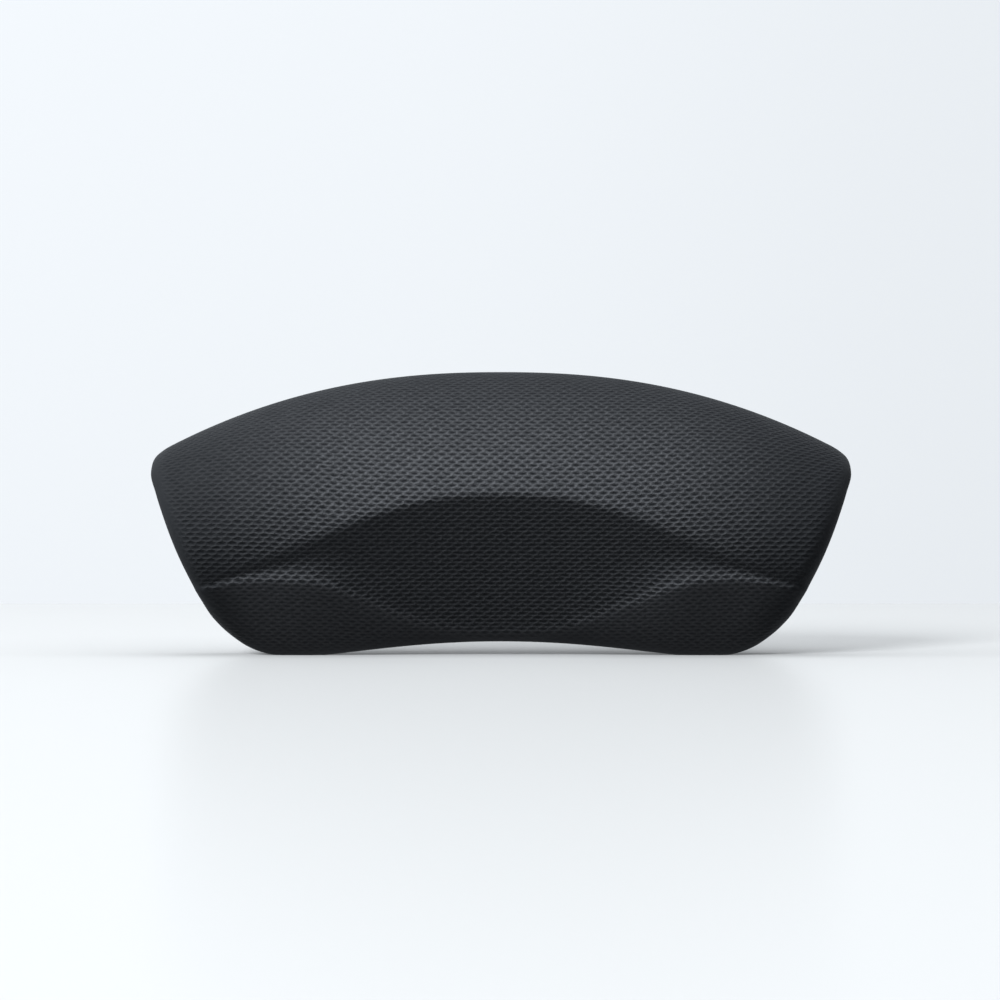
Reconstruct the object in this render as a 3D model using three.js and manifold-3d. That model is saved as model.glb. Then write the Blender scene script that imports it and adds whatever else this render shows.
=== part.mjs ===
// Bath pillow: a moulded skin over a foam core, with a rigid tray and a screwed back plate
// whose keyholes carry four suction cups. Millimetres, +Z up, the front faces -Y.
import * as THREE from 'three';
import { mergeVertices } from 'three/addons/utils/BufferGeometryUtils.js';
import Module from 'manifold-3d';

const wasm = await Module();
wasm.setup();

// Every piece is drawn with X to the right, Y up and Z forward from the pillow's flat back.
// The group at the end turns this drawing frame upright.

// Clearances
const gap = 0.3;
const overrun = 2;

// Pillow outline, seen from the front
const pillowWidth = 330;
const pillowHeight = 134.3;
const upperCornerHeight = 96.2;
const lowerCornerHeight = 7.1;
const footCornerRadius = 42;
const archHeight = 7.1;
const archHalfWidth = 90;
const footCut = 0.5;

// Half widths at even steps of height, from the lower corner to the upper one
const sideShares = [0.757, 0.818, 0.853, 0.883, 0.911, 0.936, 0.959, 0.981, 1, 0.984];
const topFallPowerShare = 2.3;
const archPowerShare = 1.35;

// Pillow depths, forward from the flat back
const crestDepth = 68;
const crestEndFall = 14.5;
const crestFallPowerShare = 2.6;
const footDepth = 25;
const rimRadius = 10;
const backRadius = 5;
const topLand = 1.5;

// Feature lines of the front. Each list has six shares, at even steps from the pillow's
// middle to its end: heights of the crest and lobes, depths of the crest or foot.
const crestHeight = 75.8;
const lobeHeight = 36.3;
const crestHeightShares = [1, 0.976, 0.883, 0.735, 0.574, 0.442];
const lipHeightShares = [0.253, 0.35, 0.631, 0.95, 0.985, 0.84];
const lipDepthShares = [0.512, 0.551, 0.678, 0.856, 0.844, 0.783];
const valleyRiseShares = [0.43, 0.43, 0.42, 0.48, 0.5, 0.5];
const valleyDepthShares = [0.7235, 0.74, 0.787, 0.856, 0.845, 0.78];
const bottomDepthShares = [1.2, 1.16, 1.12, 1.04, 1, 1];

// Handles of the two curved stretches of a section, as shares of its rise and depth
const browLeanShares = [0.12, 0.11, 0.06, -0.04, -0.15, -0.24];
const browTopShares = [0.46, 0.48, 0.54, 0.63, 0.7, 0.74];
const browRiseShare = 0.42;
const lobeFootShare = 0.29;
const lobeLeanShare = 0.15;
const lobeRiseShare = 0.2;

// Skin and foam
const skinThickness = 2.2;

// Back panel outline, shared by the plate, the tray and their openings, as margins from
// the pillow's own outline
const panelFootMargin = 15;
const panelFootInset = 8.5;
const panelSideMargin = 21;
const panelTopMargin = 17;
const panelCornerShare = 0.09;
const panelCrownShare = 0.9;

// Back plate
const plateThickness = 3;

// Insert tray
const trayFloor = 2;
const trayWall = 2;
const trayLedge = 1.2;
const flangeReach = 7;
const flangeThickness = 2;
const ribThickness = 1.6;
const ribStandoff = 16;

// Keyholes
const slotDrop = 11;
const slotClearance = gap;
const entryClearance = 0.6;

// Suction cups
const cupRadius = 25;
const cupHeight = 12;
const cupRimThickness = 1.6;
const cupCentreThickness = 3.6;
const cupHubRadius = 11;
const neckRadius = 5;
const headRadius = 8;
const headThickness = 4;
const headBevel = 1.6;
const tabWidth = 9;
const tabReach = 8;
const tabThickness = 1.6;
const tabSetback = 0.6;

// Shoulders of the bell between its hub and its rim: shares of the radial run and height
const bellShares = [[0.09, 0.14], [0.5, 0.36], [0.86, 0.7]];
const bowlShares = [[0.33, 0.95], [0.66, 0.8], [0.9, 0.4]];

// Places of the cups when each is at the narrow end of its keyhole: shares of the panel's
// half width at the shoulders, and heights from the panel's shoulders and foot
const upperCupSpanShare = 0.708;
const lowerCupSpanShare = 0.292;
const upperCupDrop = 14;
const lowerCupRise = 26;

// Screws and their brass bushes
const screwRadius = 1.35;
const screwHeadRadius = 2.9;
const screwPointBevel = 0.45;
const screwSetback = 0.2;
const socketRadius = 1.15;
const socketDepth = 1;
const screwHoleClearance = 0.35;
const bushWall = 0.65;
const bushLength = 4.8;
const bushRoom = 0.6;
const bossWall = 1.8;

// Places of the screws, drawn in from the panel's shoulders, foot corners and crown
const shoulderScrewInset = 14;
const shoulderScrewDrop = 6;
const footScrewInset = 12;
const footScrewRise = 8;
const crownScrewDrop = 12;

// Counts of facets
const stepsAcross = 32;
const coarseStepsAcross = 16;
const rimSteps = 3;
const coarseRimSteps = 2;
const sectionSteps = { lobe: 3, hollow: 2, brow: 6, back: 2 };
const coarseSectionSteps = { lobe: 2, hollow: 1, brow: 4, back: 1 };
const panelCornerSteps = 6;
const panelCrownSteps = 24;
const keyholeSteps = 6;
const cupSides = 32;
const screwSides = 16;
const socketSides = 6;

// Colours
const skinColor = 0x35383c;
const foamColor = 0xcfc8b4;
const trayColor = 0x2b2e31;
const plateColor = 0x1f2123;
const brassColor = 0xb5935a;
const steelColor = 0xb8bbbf;
const cupColor = 0x7d8388;

// Values worked out from those above
const halfWidth = pillowWidth / 2;
const lowerCornerHalfWidth = halfWidth * sideShares[0];
const footRise = lowerCornerHeight + footCut;
const footRun = Math.sqrt(2 * footCornerRadius * footRise - footRise * footRise);
const footCornerStart = lowerCornerHalfWidth - footRun;
const panelFootHeight = Math.max(archHeight, lowerCornerHeight) + panelFootMargin;
const panelFootHalfWidth = lowerCornerHalfWidth - panelFootInset;
const panelShoulderHalfWidth = halfWidth - panelSideMargin;
const panelShoulderHeight = topHeight(panelShoulderHalfWidth / halfWidth) - panelTopMargin;
const panelCrownHeight = pillowHeight - panelTopMargin;
const upperCupSpan = panelShoulderHalfWidth * upperCupSpanShare;
const upperCupHeight = panelShoulderHeight - upperCupDrop;
const lowerCupSpan = panelShoulderHalfWidth * lowerCupSpanShare;
const lowerCupHeight = panelFootHeight + lowerCupRise;
const cupProud = gap + cupHeight;
const bossTop = plateThickness + gap;
const headBack = plateThickness + gap;
const slotRadius = neckRadius + slotClearance;
const entryRadius = headRadius + entryClearance;
const screwHeadDepth = screwHeadRadius - screwRadius;
const bushBore = screwRadius + gap;
const bushRadius = bushBore + bushWall;
const bossHoleRadius = bushRadius + gap;
const bossRadius = bossHoleRadius + bossWall;
const bushStart = bossTop + gap;
const bushEnd = bushStart + bushLength;
const trayFloorTop = bushEnd + bushRoom;
const trayDepth = trayFloorTop + trayFloor;
const screwHoleRadius = screwRadius + screwHoleClearance;

// Solids

function solidOf(geometry) {
  const bare = geometry.clone();
  bare.deleteAttribute('normal');
  bare.deleteAttribute('uv');
  const welded = mergeVertices(bare);
  return new wasm.Manifold(new wasm.Mesh({
    numProp: 3,
    vertProperties: new Float32Array(welded.attributes.position.array),
    triVerts: new Uint32Array(welded.index.array),
  }));
}

function geometryOf(solid) {
  const mesh = solid.getMesh();
  const geometry = new THREE.BufferGeometry();
  geometry.setAttribute('position', new THREE.BufferAttribute(mesh.vertProperties, 3));
  geometry.setIndex(new THREE.BufferAttribute(mesh.triVerts, 1));
  geometry.computeVertexNormals();
  return geometry;
}

function joined(first, ...others) {
  return others.reduce((whole, piece) => whole.add(piece), first);
}

function cutBy(first, ...others) {
  return others.reduce((whole, piece) => whole.subtract(piece), first);
}

// A flat outline given thickness between two depths
function prism(shape, from, to) {
  const geometry = new THREE.ExtrudeGeometry(shape, { depth: to - from, bevelEnabled: false });
  return solidOf(geometry.translate(0, 0, from));
}

// A profile of [radius, depth] points turned about the depth axis, from the front round
// to the back
function turned(profile, sides) {
  const points = profile.map(([radius, depth]) => new THREE.Vector2(radius, depth));
  return solidOf(new THREE.LatheGeometry(points.reverse(), sides).rotateX(Math.PI / 2));
}

function rod(radius, from, to, sides) {
  return turned([[0, to], [radius, to], [radius, from], [0, from]], sides);
}

function box(left, right, low, high, from, to) {
  const geometry = new THREE.BoxGeometry(right - left, high - low, to - from);
  return solidOf(geometry.translate((left + right) / 2, (low + high) / 2, (from + to) / 2));
}

// Pillow form

// A smooth value at a share of the way along a list of evenly spaced values, which is
// mirrored at its start
function along(values, share) {
  const last = values.length - 1;
  const place = Math.min(share, 1) * last;
  const start = Math.min(Math.floor(place), last - 1);
  const t = place - start;
  const before = values[Math.abs(start - 1)];
  const a = values[start];
  const b = values[start + 1];
  const after = start + 2 > last ? 2 * b - a : values[start + 2];
  const slopeA = (b - before) / 2;
  const slopeB = (after - a) / 2;
  const bend = t * t * (3 - 2 * t);
  return a + (b - a) * bend + slopeA * t * (1 - t) ** 2 - slopeB * t * t * (1 - t);
}

// The side edge runs from the lower corner to the upper one, so its list isn't mirrored
function sideHalfWidth(height) {
  const share = (height - lowerCornerHeight) / (upperCornerHeight - lowerCornerHeight);
  const last = sideShares.length - 1;
  const place = THREE.MathUtils.clamp(share, 0, 1) * last;
  const start = Math.min(Math.floor(place), last - 1);
  return halfWidth * THREE.MathUtils.lerp(sideShares[start], sideShares[start + 1], place - start);
}

// The top edge at a share of the way across
function topHeight(across) {
  return pillowHeight - (pillowHeight - upperCornerHeight) * across ** topFallPowerShare;
}

// The bottom edge: an arch in the middle, two feet and a round rise to each lower corner
function bottomHeight(x) {
  const arch = archHeight * Math.max(1 - (x / archHalfWidth) ** 2, 0) ** archPowerShare;
  const run = Math.max(x - footCornerStart, 0);
  const rise = footCornerRadius - Math.sqrt(footCornerRadius ** 2 - run ** 2);
  return Math.max(arch, rise) - footCut;
}

// How far the rim's quarter round falls back at a share of the way across
function rimFall(across) {
  const fromEdge = Math.min((1 - across) * halfWidth, rimRadius);
  return rimRadius - Math.sqrt(rimRadius ** 2 - (rimRadius - fromEdge) ** 2);
}

// The feature points of the section at a share of the way across, as (height, depth)
function featurePoints(across) {
  const fall = rimFall(across);
  const crestBack = crestDepth - crestEndFall * across ** crestFallPowerShare;
  const crest = new THREE.Vector2(crestHeight * along(crestHeightShares, across), crestBack - fall);
  const lip = new THREE.Vector2(
    lobeHeight * along(lipHeightShares, across),
    crestDepth * along(lipDepthShares, across) - fall,
  );
  const valley = new THREE.Vector2(
    THREE.MathUtils.lerp(lip.x, crest.x, along(valleyRiseShares, across)),
    crestDepth * along(valleyDepthShares, across) - fall,
  );
  const bottom = new THREE.Vector2(
    bottomHeight(across * lowerCornerHalfWidth),
    footDepth * along(bottomDepthShares, across) - fall,
  );
  const top = new THREE.Vector2(topHeight(across), backRadius + topLand);
  return { bottom, lip, valley, crest, top };
}

// The front of the section as a chain of (height, depth) points from the foot to the top
function sectionChain(across, steps) {
  const { bottom, lip, valley, crest, top } = featurePoints(across);
  const lobeRise = lip.x - bottom.x;
  const lobeRun = lip.y - bottom.y;
  const browRise = top.x - crest.x;
  const browRun = crest.y - top.y;
  const lean = along(browLeanShares, across) * browRise;
  const lobe = new THREE.CubicBezierCurve(
    bottom,
    new THREE.Vector2(bottom.x, bottom.y + lobeFootShare * lobeRun),
    new THREE.Vector2(lip.x - lobeRiseShare * lobeRise, lip.y - lobeLeanShare * lobeRun),
    lip,
  );
  const hollow = new THREE.LineCurve(valley, crest);
  const brow = new THREE.CubicBezierCurve(
    crest,
    new THREE.Vector2(crest.x + browRiseShare * browRise, crest.y - lean),
    new THREE.Vector2(top.x, top.y + along(browTopShares, across) * browRun),
    top,
  );
  return [
    ...lobe.getPoints(steps.lobe),
    ...hollow.getPoints(steps.hollow),
    ...brow.getPoints(steps.brow).slice(1),
  ];
}

// Shares of the way across, from the left end to the right one, closer together at the rims
function stations(count, rimCount) {
  const rimShare = rimRadius / halfWidth;
  const right = [];
  for (let i = 0; i <= count / 2; i += 1) {
    right.push((1 - rimShare) * i / (count / 2));
  }
  for (let i = rimCount - 1; i >= 0; i -= 1) {
    const angle = Math.PI / 2 * i / rimCount;
    right.push(1 - rimShare * (1 - Math.cos(angle)));
  }
  const left = right.slice(1).map((share) => -share).reverse();
  return [...left, ...right];
}

// The whole pillow as one closed form, lofted through the sections and closed at the back
function pillowForm(count, rimCount, steps) {
  const shares = stations(count, rimCount);
  const endWidths = sectionChain(1, steps).map((point) => sideHalfWidth(point.x));
  const points = [];
  const triangles = [];
  const quad = (a, b, c, d) => triangles.push(a, b, c, a, c, d);
  for (const share of shares) {
    sectionChain(Math.abs(share), steps).forEach((point, row) => {
      points.push(new THREE.Vector3(share * endWidths[row], point.x, point.y));
    });
  }
  const rows = endWidths.length;
  const columns = shares.length;
  const at = (column, row) => column * rows + row;
  for (let column = 0; column < columns - 1; column += 1) {
    for (let row = 0; row < rows - 1; row += 1) {
      quad(at(column, row), at(column + 1, row), at(column + 1, row + 1), at(column, row + 1));
    }
  }
  const edge = [];
  for (let column = 0; column < columns - 1; column += 1) edge.push(at(column, 0));
  for (let row = 0; row < rows - 1; row += 1) edge.push(at(columns - 1, row));
  for (let column = columns - 1; column > 0; column -= 1) edge.push(at(column, rows - 1));
  for (let row = rows - 1; row > 0; row -= 1) edge.push(at(0, row));
  const inward = edge.map((vertex, i) => {
    const before = points[edge.at(i - 1)];
    const after = points[edge[(i + 1) % edge.length]];
    return new THREE.Vector3(before.y - after.y, after.x - before.x, 0).normalize();
  });
  let ring = edge;
  for (let step = 0; step <= steps.back; step += 1) {
    const angle = Math.PI / 2 * step / steps.back;
    const next = edge.map((vertex, i) => {
      const point = points[vertex].clone();
      point.addScaledVector(inward[i], backRadius * (1 - Math.cos(angle)));
      point.z = backRadius * (1 - Math.sin(angle));
      return points.push(point) - 1;
    });
    const front = ring;
    next.forEach((vertex, i) => {
      const j = (i + 1) % next.length;
      quad(front[i], vertex, next[j], front[j]);
    });
    ring = next;
  }
  const centre = points.push(new THREE.Vector3(0, crestHeight, 0)) - 1;
  ring.forEach((vertex, i) => triangles.push(centre, ring[(i + 1) % ring.length], vertex));
  const geometry = new THREE.BufferGeometry().setFromPoints(points);
  geometry.setIndex(triangles);
  geometry.computeVertexNormals();
  return geometry;
}

// The same form drawn in by a distance all round, with its back face kept flat
function drawnIn(geometry, distance) {
  const inner = geometry.clone();
  const place = inner.attributes.position;
  const normal = inner.attributes.normal;
  for (let i = 0; i < place.count; i += 1) {
    const depth = place.getZ(i) - distance * normal.getZ(i);
    place.setXYZ(
      i,
      place.getX(i) - distance * normal.getX(i),
      place.getY(i) - distance * normal.getY(i),
      Math.max(depth, distance),
    );
  }
  return solidOf(inner);
}

// Back panel outline

// The panel's corners moved out by a distance, each where its two shifted edges meet
function panelCorners(distance) {
  const crownRise = (panelCrownHeight - panelShoulderHeight) / (1 - panelCrownShare / 2);
  const corners = [
    new THREE.Vector2(-panelFootHalfWidth, panelFootHeight),
    new THREE.Vector2(panelFootHalfWidth, panelFootHeight),
    new THREE.Vector2(panelShoulderHalfWidth, panelShoulderHeight),
    new THREE.Vector2(0, panelShoulderHeight + crownRise),
    new THREE.Vector2(-panelShoulderHalfWidth, panelShoulderHeight),
  ];
  return corners.map((corner, i) => {
    const into = corner.clone().sub(corners.at(i - 1)).normalize();
    const outOf = corners[(i + 1) % corners.length].clone().sub(corner).normalize();
    const normal = new THREE.Vector2(into.y + outOf.y, -into.x - outOf.x);
    const reach = 2 * distance / normal.lengthSq();
    return corner.clone().addScaledVector(normal, reach);
  });
}

// Straight edges with a round at each corner, and one long curve over the crown
function panelShape(distance) {
  const corners = panelCorners(distance);
  return new THREE.Shape(corners.flatMap((corner, i) => {
    const isCrown = i === 3;
    const share = isCrown ? panelCrownShare : panelCornerShare;
    const start = corner.clone().lerp(corners.at(i - 1), share);
    const end = corner.clone().lerp(corners[(i + 1) % corners.length], share);
    const curve = new THREE.QuadraticBezierCurve(start, corner, end);
    return curve.getPoints(isCrown ? panelCrownSteps : panelCornerSteps);
  }));
}

// A keyhole with its narrow end at the origin and its round entry below
function keyholePath() {
  const path = new THREE.Path();
  const bite = Math.asin(slotRadius / entryRadius);
  const meet = -slotDrop + entryRadius * Math.cos(bite);
  path.absarc(0, -slotDrop, entryRadius, Math.PI / 2 + bite, Math.PI / 2 - bite + 2 * Math.PI);
  path.lineTo(slotRadius, meet);
  path.absarc(0, 0, slotRadius, 0, Math.PI);
  path.closePath();
  return path;
}

// Sub-parts

const cupPlaces = {
  upper_left: [-upperCupSpan, upperCupHeight],
  upper_right: [upperCupSpan, upperCupHeight],
  lower_left: [-lowerCupSpan, lowerCupHeight],
  lower_right: [lowerCupSpan, lowerCupHeight],
};

const shoulderScrew = [
  panelShoulderHalfWidth - shoulderScrewInset,
  panelShoulderHeight - shoulderScrewDrop,
];
const footScrew = [panelFootHalfWidth - footScrewInset, panelFootHeight + footScrewRise];
const screwPlaces = {
  upper_left: [-shoulderScrew[0], shoulderScrew[1]],
  upper_right: shoulderScrew,
  top_middle: [0, panelCrownHeight - crownScrewDrop],
  bottom_middle: [0, footScrew[1]],
  lower_left: [-footScrew[0], footScrew[1]],
  lower_right: footScrew,
};

const coarseForm = pillowForm(coarseStepsAcross, coarseRimSteps, coarseSectionSteps);

// Everything below the surface that the feet stand on
function groundSlab(level) {
  const reach = halfWidth + overrun;
  return box(-reach, reach, level - footCut - overrun, level, -overrun, crestDepth + overrun);
}

function mouldedSkin() {
  const outer = solidOf(pillowForm(stepsAcross, rimSteps, sectionSteps));
  const opening = prism(panelShape(trayWall + 2 * gap), -overrun, skinThickness + overrun);
  return cutBy(outer, drawnIn(coarseForm, skinThickness), opening, groundSlab(0));
}

function foamCore() {
  const flangeFront = skinThickness + flangeThickness + 2 * gap;
  const core = drawnIn(coarseForm, skinThickness + gap);
  const trayPocket = prism(panelShape(trayWall + 2 * gap), -overrun, trayDepth + gap);
  const flangePocket = prism(panelShape(flangeReach + gap), -overrun, flangeFront);
  return cutBy(core, trayPocket, flangePocket);
}

function insertTray() {
  const outer = prism(panelShape(trayWall + gap), 0, trayDepth);
  const flangeBack = skinThickness + gap;
  const flange = prism(panelShape(flangeReach), flangeBack, flangeBack + flangeThickness);
  const seat = prism(panelShape(gap), -overrun, bossTop);
  const well = prism(panelShape(gap - trayLedge), -overrun, trayFloorTop);
  const shell = cutBy(joined(outer, flange), seat, well);
  const rib = (left, right, low, high) => box(left, right, low, high, bossTop, trayFloorTop + gap);
  const half = ribThickness / 2;
  const low = panelFootHeight;
  const high = panelCrownHeight;
  const far = panelShoulderHalfWidth;
  const span = (upperCupSpan + lowerCupSpan) / 2;
  const upright = (x) => rib(x - half, x + half, low, high);
  const level = (left, right, height) => rib(left, right, height - half, height + half);
  const endHeight = upperCupHeight - slotDrop - ribStandoff;
  const ribs = [
    upright(0),
    upright(-span),
    upright(span),
    level(-span, span, lowerCupHeight + ribStandoff),
    level(-far, far, upperCupHeight + ribStandoff),
    level(-far, -span, endHeight),
    level(span, far, endHeight),
  ];
  const inside = prism(panelShape(trayWall), 0, trayDepth);
  const ribbing = joined(...ribs).intersect(inside);
  const bosses = Object.values(screwPlaces).map(([x, y]) => (
    rod(bossRadius, bossTop, trayFloorTop + gap, screwSides).translate([x, y, 0])
  ));
  const holes = Object.values(screwPlaces).map(([x, y]) => (
    rod(bossHoleRadius, bossTop - overrun, trayFloorTop, screwSides).translate([x, y, 0])
  ));
  return cutBy(joined(shell, ribbing, ...bosses), ...holes);
}

function backPlate() {
  const shape = panelShape(0);
  const moved = (path, x, y) => new THREE.Path(
    path.getPoints(keyholeSteps).map((point) => point.clone().add(new THREE.Vector2(x, y))),
  );
  for (const [x, y] of Object.values(cupPlaces)) shape.holes.push(moved(keyholePath(), x, y));
  const sinkRadius = screwHeadRadius + screwSetback + gap * Math.SQRT2;
  const sinkDepth = sinkRadius - screwHoleRadius;
  const sink = turned([
    [0, plateThickness + overrun],
    [screwHoleRadius, plateThickness + overrun],
    [screwHoleRadius, sinkDepth],
    [sinkRadius, 0],
    [sinkRadius, -overrun],
    [0, -overrun],
  ], screwSides);
  const sinks = Object.values(screwPlaces).map(([x, y]) => sink.translate([x, y, 0]));
  return cutBy(prism(shape, 0, plateThickness), ...sinks);
}

function threadedBush() {
  const body = rod(bushRadius, bushStart, bushEnd, screwSides);
  return cutBy(body, rod(bushBore, bushStart - overrun, bushEnd + overrun, screwSides));
}

function countersunkScrew() {
  const body = turned([
    [0, bushEnd],
    [screwRadius - screwPointBevel, bushEnd],
    [screwRadius, bushEnd - screwPointBevel],
    [screwRadius, screwSetback + screwHeadDepth],
    [screwHeadRadius, screwSetback],
    [0, screwSetback],
  ], screwSides);
  const socketEnd = screwSetback + socketDepth;
  return cutBy(body, rod(socketRadius, screwSetback - overrun, socketEnd, socketSides));
}

function suctionCup() {
  const headFront = headBack + headThickness;
  const bellRun = cupRadius - cupHubRadius;
  const bowlRadius = cupRadius - cupRimThickness;
  const bowlHeight = cupHeight - cupCentreThickness;
  const bell = bellShares.map(([run, rise]) => (
    [cupHubRadius + bellRun * run, -gap - cupHeight * rise]
  ));
  const bowl = bowlShares.map(([run, rise]) => [bowlRadius * run, -cupProud + bowlHeight * rise]);
  const body = turned([
    [0, headFront],
    [headRadius - headBevel, headFront],
    [headRadius, headFront - headBevel],
    [headRadius, headBack],
    [neckRadius, headBack],
    [neckRadius, -gap],
    [cupHubRadius, -gap],
    ...bell,
    [cupRadius, -cupProud],
    [bowlRadius, -cupProud],
    ...bowl.reverse(),
    [0, -cupProud + bowlHeight],
  ], cupSides);
  const tab = new THREE.Shape();
  const side = tabWidth / 2;
  const root = cupRadius - cupRimThickness / 2;
  const shoulder = cupRadius + tabReach - side;
  tab.moveTo(-side, root);
  tab.lineTo(side, root);
  tab.lineTo(side, shoulder);
  tab.absarc(0, shoulder, side, 0, Math.PI);
  tab.closePath();
  const tabBack = -cupProud + tabSetback;
  return joined(body, prism(tab, tabBack, tabBack + tabThickness));
}

// Assembly

function material(color, roughness, metalness) {
  return new THREE.MeshStandardMaterial({ color, roughness, metalness });
}

const pillow = new THREE.Group();

function place(name, solid, finish, x = 0, y = 0) {
  const mesh = new THREE.Mesh(geometryOf(solid), material(...finish));
  mesh.name = name;
  mesh.position.set(x, y, 0);
  pillow.add(mesh);
}

place('moulded_skin', mouldedSkin(), [skinColor, 0.6, 0]);
place('foam_core', foamCore(), [foamColor, 0.95, 0]);
place('insert_tray', insertTray(), [trayColor, 0.6, 0]);
place('back_plate', backPlate(), [plateColor, 0.5, 0]);

const bush = threadedBush();
const screw = countersunkScrew();
for (const [name, [x, y]] of Object.entries(screwPlaces)) {
  place(`${name}_bush`, bush, [brassColor, 0.35, 1], x, y);
  place(`${name}_screw`, screw, [steelColor, 0.3, 1], x, y);
}

const cup = suctionCup();
for (const [name, [x, y]] of Object.entries(cupPlaces)) {
  place(`${name}_cup`, cup, [cupColor, 0.35, 0], x, y);
}

// Upright, with the crest and the cups' rims equally far from the middle
pillow.rotation.x = Math.PI / 2;
pillow.position.y = (crestDepth - cupProud) / 2;

export default pillow;
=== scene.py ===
import math

import bmesh
import bpy
from bpy.props import FloatProperty, FloatVectorProperty, IntProperty, PointerProperty
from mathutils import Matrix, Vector
from mathutils.geometry import interpolate_bezier


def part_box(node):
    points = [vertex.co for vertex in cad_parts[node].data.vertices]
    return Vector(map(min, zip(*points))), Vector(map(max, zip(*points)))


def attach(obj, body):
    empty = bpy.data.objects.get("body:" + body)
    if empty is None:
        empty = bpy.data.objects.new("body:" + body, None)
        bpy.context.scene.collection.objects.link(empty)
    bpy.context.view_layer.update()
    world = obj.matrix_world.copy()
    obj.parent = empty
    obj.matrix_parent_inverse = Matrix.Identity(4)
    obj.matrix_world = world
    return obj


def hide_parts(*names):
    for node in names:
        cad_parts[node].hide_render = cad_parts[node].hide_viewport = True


bl_info = {
    "name": "Bath Pillow",
    "version": (1, 0, 0),
    "blender": (4, 5, 0),
    "location": "View3D > Sidebar > Bath Pillow",
    "description": "Builds a moulded bath pillow, its back plate and its suction cups",
    "category": "Add Mesh",
}

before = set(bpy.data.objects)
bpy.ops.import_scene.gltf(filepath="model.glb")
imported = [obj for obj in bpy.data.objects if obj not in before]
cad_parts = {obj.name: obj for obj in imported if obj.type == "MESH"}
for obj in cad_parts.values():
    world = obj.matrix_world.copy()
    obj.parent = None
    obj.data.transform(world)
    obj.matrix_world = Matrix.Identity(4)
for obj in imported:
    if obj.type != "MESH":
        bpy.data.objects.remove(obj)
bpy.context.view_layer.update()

# Places read from the frame
skin_low, skin_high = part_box("moulded_skin")
back_y = skin_high.y
cup_names = ("upper_left_cup", "upper_right_cup", "lower_left_cup", "lower_right_cup")
screw_names = tuple(sorted(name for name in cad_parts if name.endswith("_screw")))
bush_names = tuple(sorted(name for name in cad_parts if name.endswith("_bush")))

MILLIMETRE = 0.001

# Half widths at even steps of height, from the lower corner to the upper one
SIDE_SHARES = (0.757, 0.818, 0.853, 0.883, 0.911, 0.936, 0.959, 0.981, 1, 0.984)

# Shares one step beyond the two corners, which only steer the curve's ends
SIDE_END_SHARES = (0.65, 0.9)
TOP_FALL_POWER_SHARE = 2.3
ARCH_POWER_SHARE = 1.35
CREST_FALL_POWER_SHARE = 2.6

# Feature lines of the front: six shares, at even steps from the pillow's middle to its end
CREST_HEIGHT_SHARES = (1, 0.976, 0.883, 0.735, 0.574, 0.442)
LIP_HEIGHT_SHARES = (0.253, 0.35, 0.631, 0.95, 0.985, 0.84)
LIP_DEPTH_SHARES = (0.512, 0.551, 0.678, 0.856, 0.844, 0.783)
VALLEY_RISE_SHARES = (0.43, 0.43, 0.42, 0.48, 0.5, 0.5)
VALLEY_DEPTH_SHARES = (0.7235, 0.74, 0.787, 0.856, 0.845, 0.78)
BOTTOM_DEPTH_SHARES = (1.2, 1.16, 1.12, 1.04, 1, 1)

# Handles of the two curved stretches of a section, as shares of its rise and depth
BROW_LEAN_SHARES = (0.12, 0.11, 0.06, -0.04, -0.15, -0.24)
BROW_TOP_SHARES = (0.46, 0.48, 0.54, 0.63, 0.7, 0.74)
BROW_RISE_SHARE = 0.42
LOBE_FOOT_SHARE = 0.29
LOBE_LEAN_SHARE = 0.15
LOBE_RISE_SHARE = 0.2

# Corner rounds never take more than this share of a stretch
ROUND_LIMIT_SHARE = 0.4

# Length along the outline over which its normals are averaged, in back rounds
NORMAL_WINDOW_SHARE = 1.6

# The feature lines are averaged over this share of the way across, with these weights
AVERAGE_REACH = 0.05
AVERAGE_WEIGHTS = (1, 3, 4, 3, 1)

# A quadratic curve's handles reach this share of the way to its corner
QUADRATIC_SHARE = 2 / 3

# Steps along a corner round, the lobe and the brow, before their points are spaced evenly
ROUND_STEPS = 24
LOBE_STEPS = 48
BROW_STEPS = 96

# Back panel: how much of each edge a corner round takes, and the long curve over its crown
PANEL_CORNER_SHARE = 0.09
PANEL_CROWN_SHARE = 0.9
PANEL_CORNER_STEPS = 12
PANEL_CROWN_STEPS = 60
CROWN_CORNER = 3

# A ray this nearly parallel to an edge misses it, and may hit this far past an edge's end
PARALLEL = 1e-12
END_SLACK = 1e-6

# Rows of faces along each stretch of the front's section, from the foot to the top
FRONT_ROWS = {"lobe": 22, "lip": 6, "shelf": 8, "valley": 6, "rise": 12, "crest": 8, "brow": 46}
FOAM_ROWS = {"lobe": 8, "lip": 2, "shelf": 3, "valley": 2, "rise": 4, "crest": 3, "brow": 14}

# Shading, welding and the soft edges of the tray and the plate
SMOOTH_ANGLE = math.radians(40)
SPIN_WELD = 1e-6
EDGE_WELD = 1e-5
EDGE_ANGLE = math.radians(50)
EDGE_SEGMENTS = 3

# A screw's head edge, and its socket's mouth and floor, as shares of their own sizes
HEAD_EDGE_SHARE = 0.3
SOCKET_MOUTH_SHARE = 1.45
SOCKET_FLOOR_SHARE = 0.3
# Painted shade at a socket's rim, as a share of the full shade down in the socket
SOCKET_RIM_SHADE = 0.35

# A cup's fillets, as a share of its rim, and its curves' handles, as shares of its height
CUP_FILLET_SHARE = 0.35
BELL_HUB_REACH = 0.42
BELL_RIM_REACH = 0.34
BOWL_REACH = 0.3
CUP_CURVE_STEPS = 14
HEAD_ROUND_STEPS = 5
FILLET_STEPS = 3

# A pull tab's root on the rim's wall, and the round of its tip
TAB_ROOT_SHARE = 0.9
WALL_FACING = 0.3
TIP_ROUND_SHARE = 1.02
TAB_CUTS = 3

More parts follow.
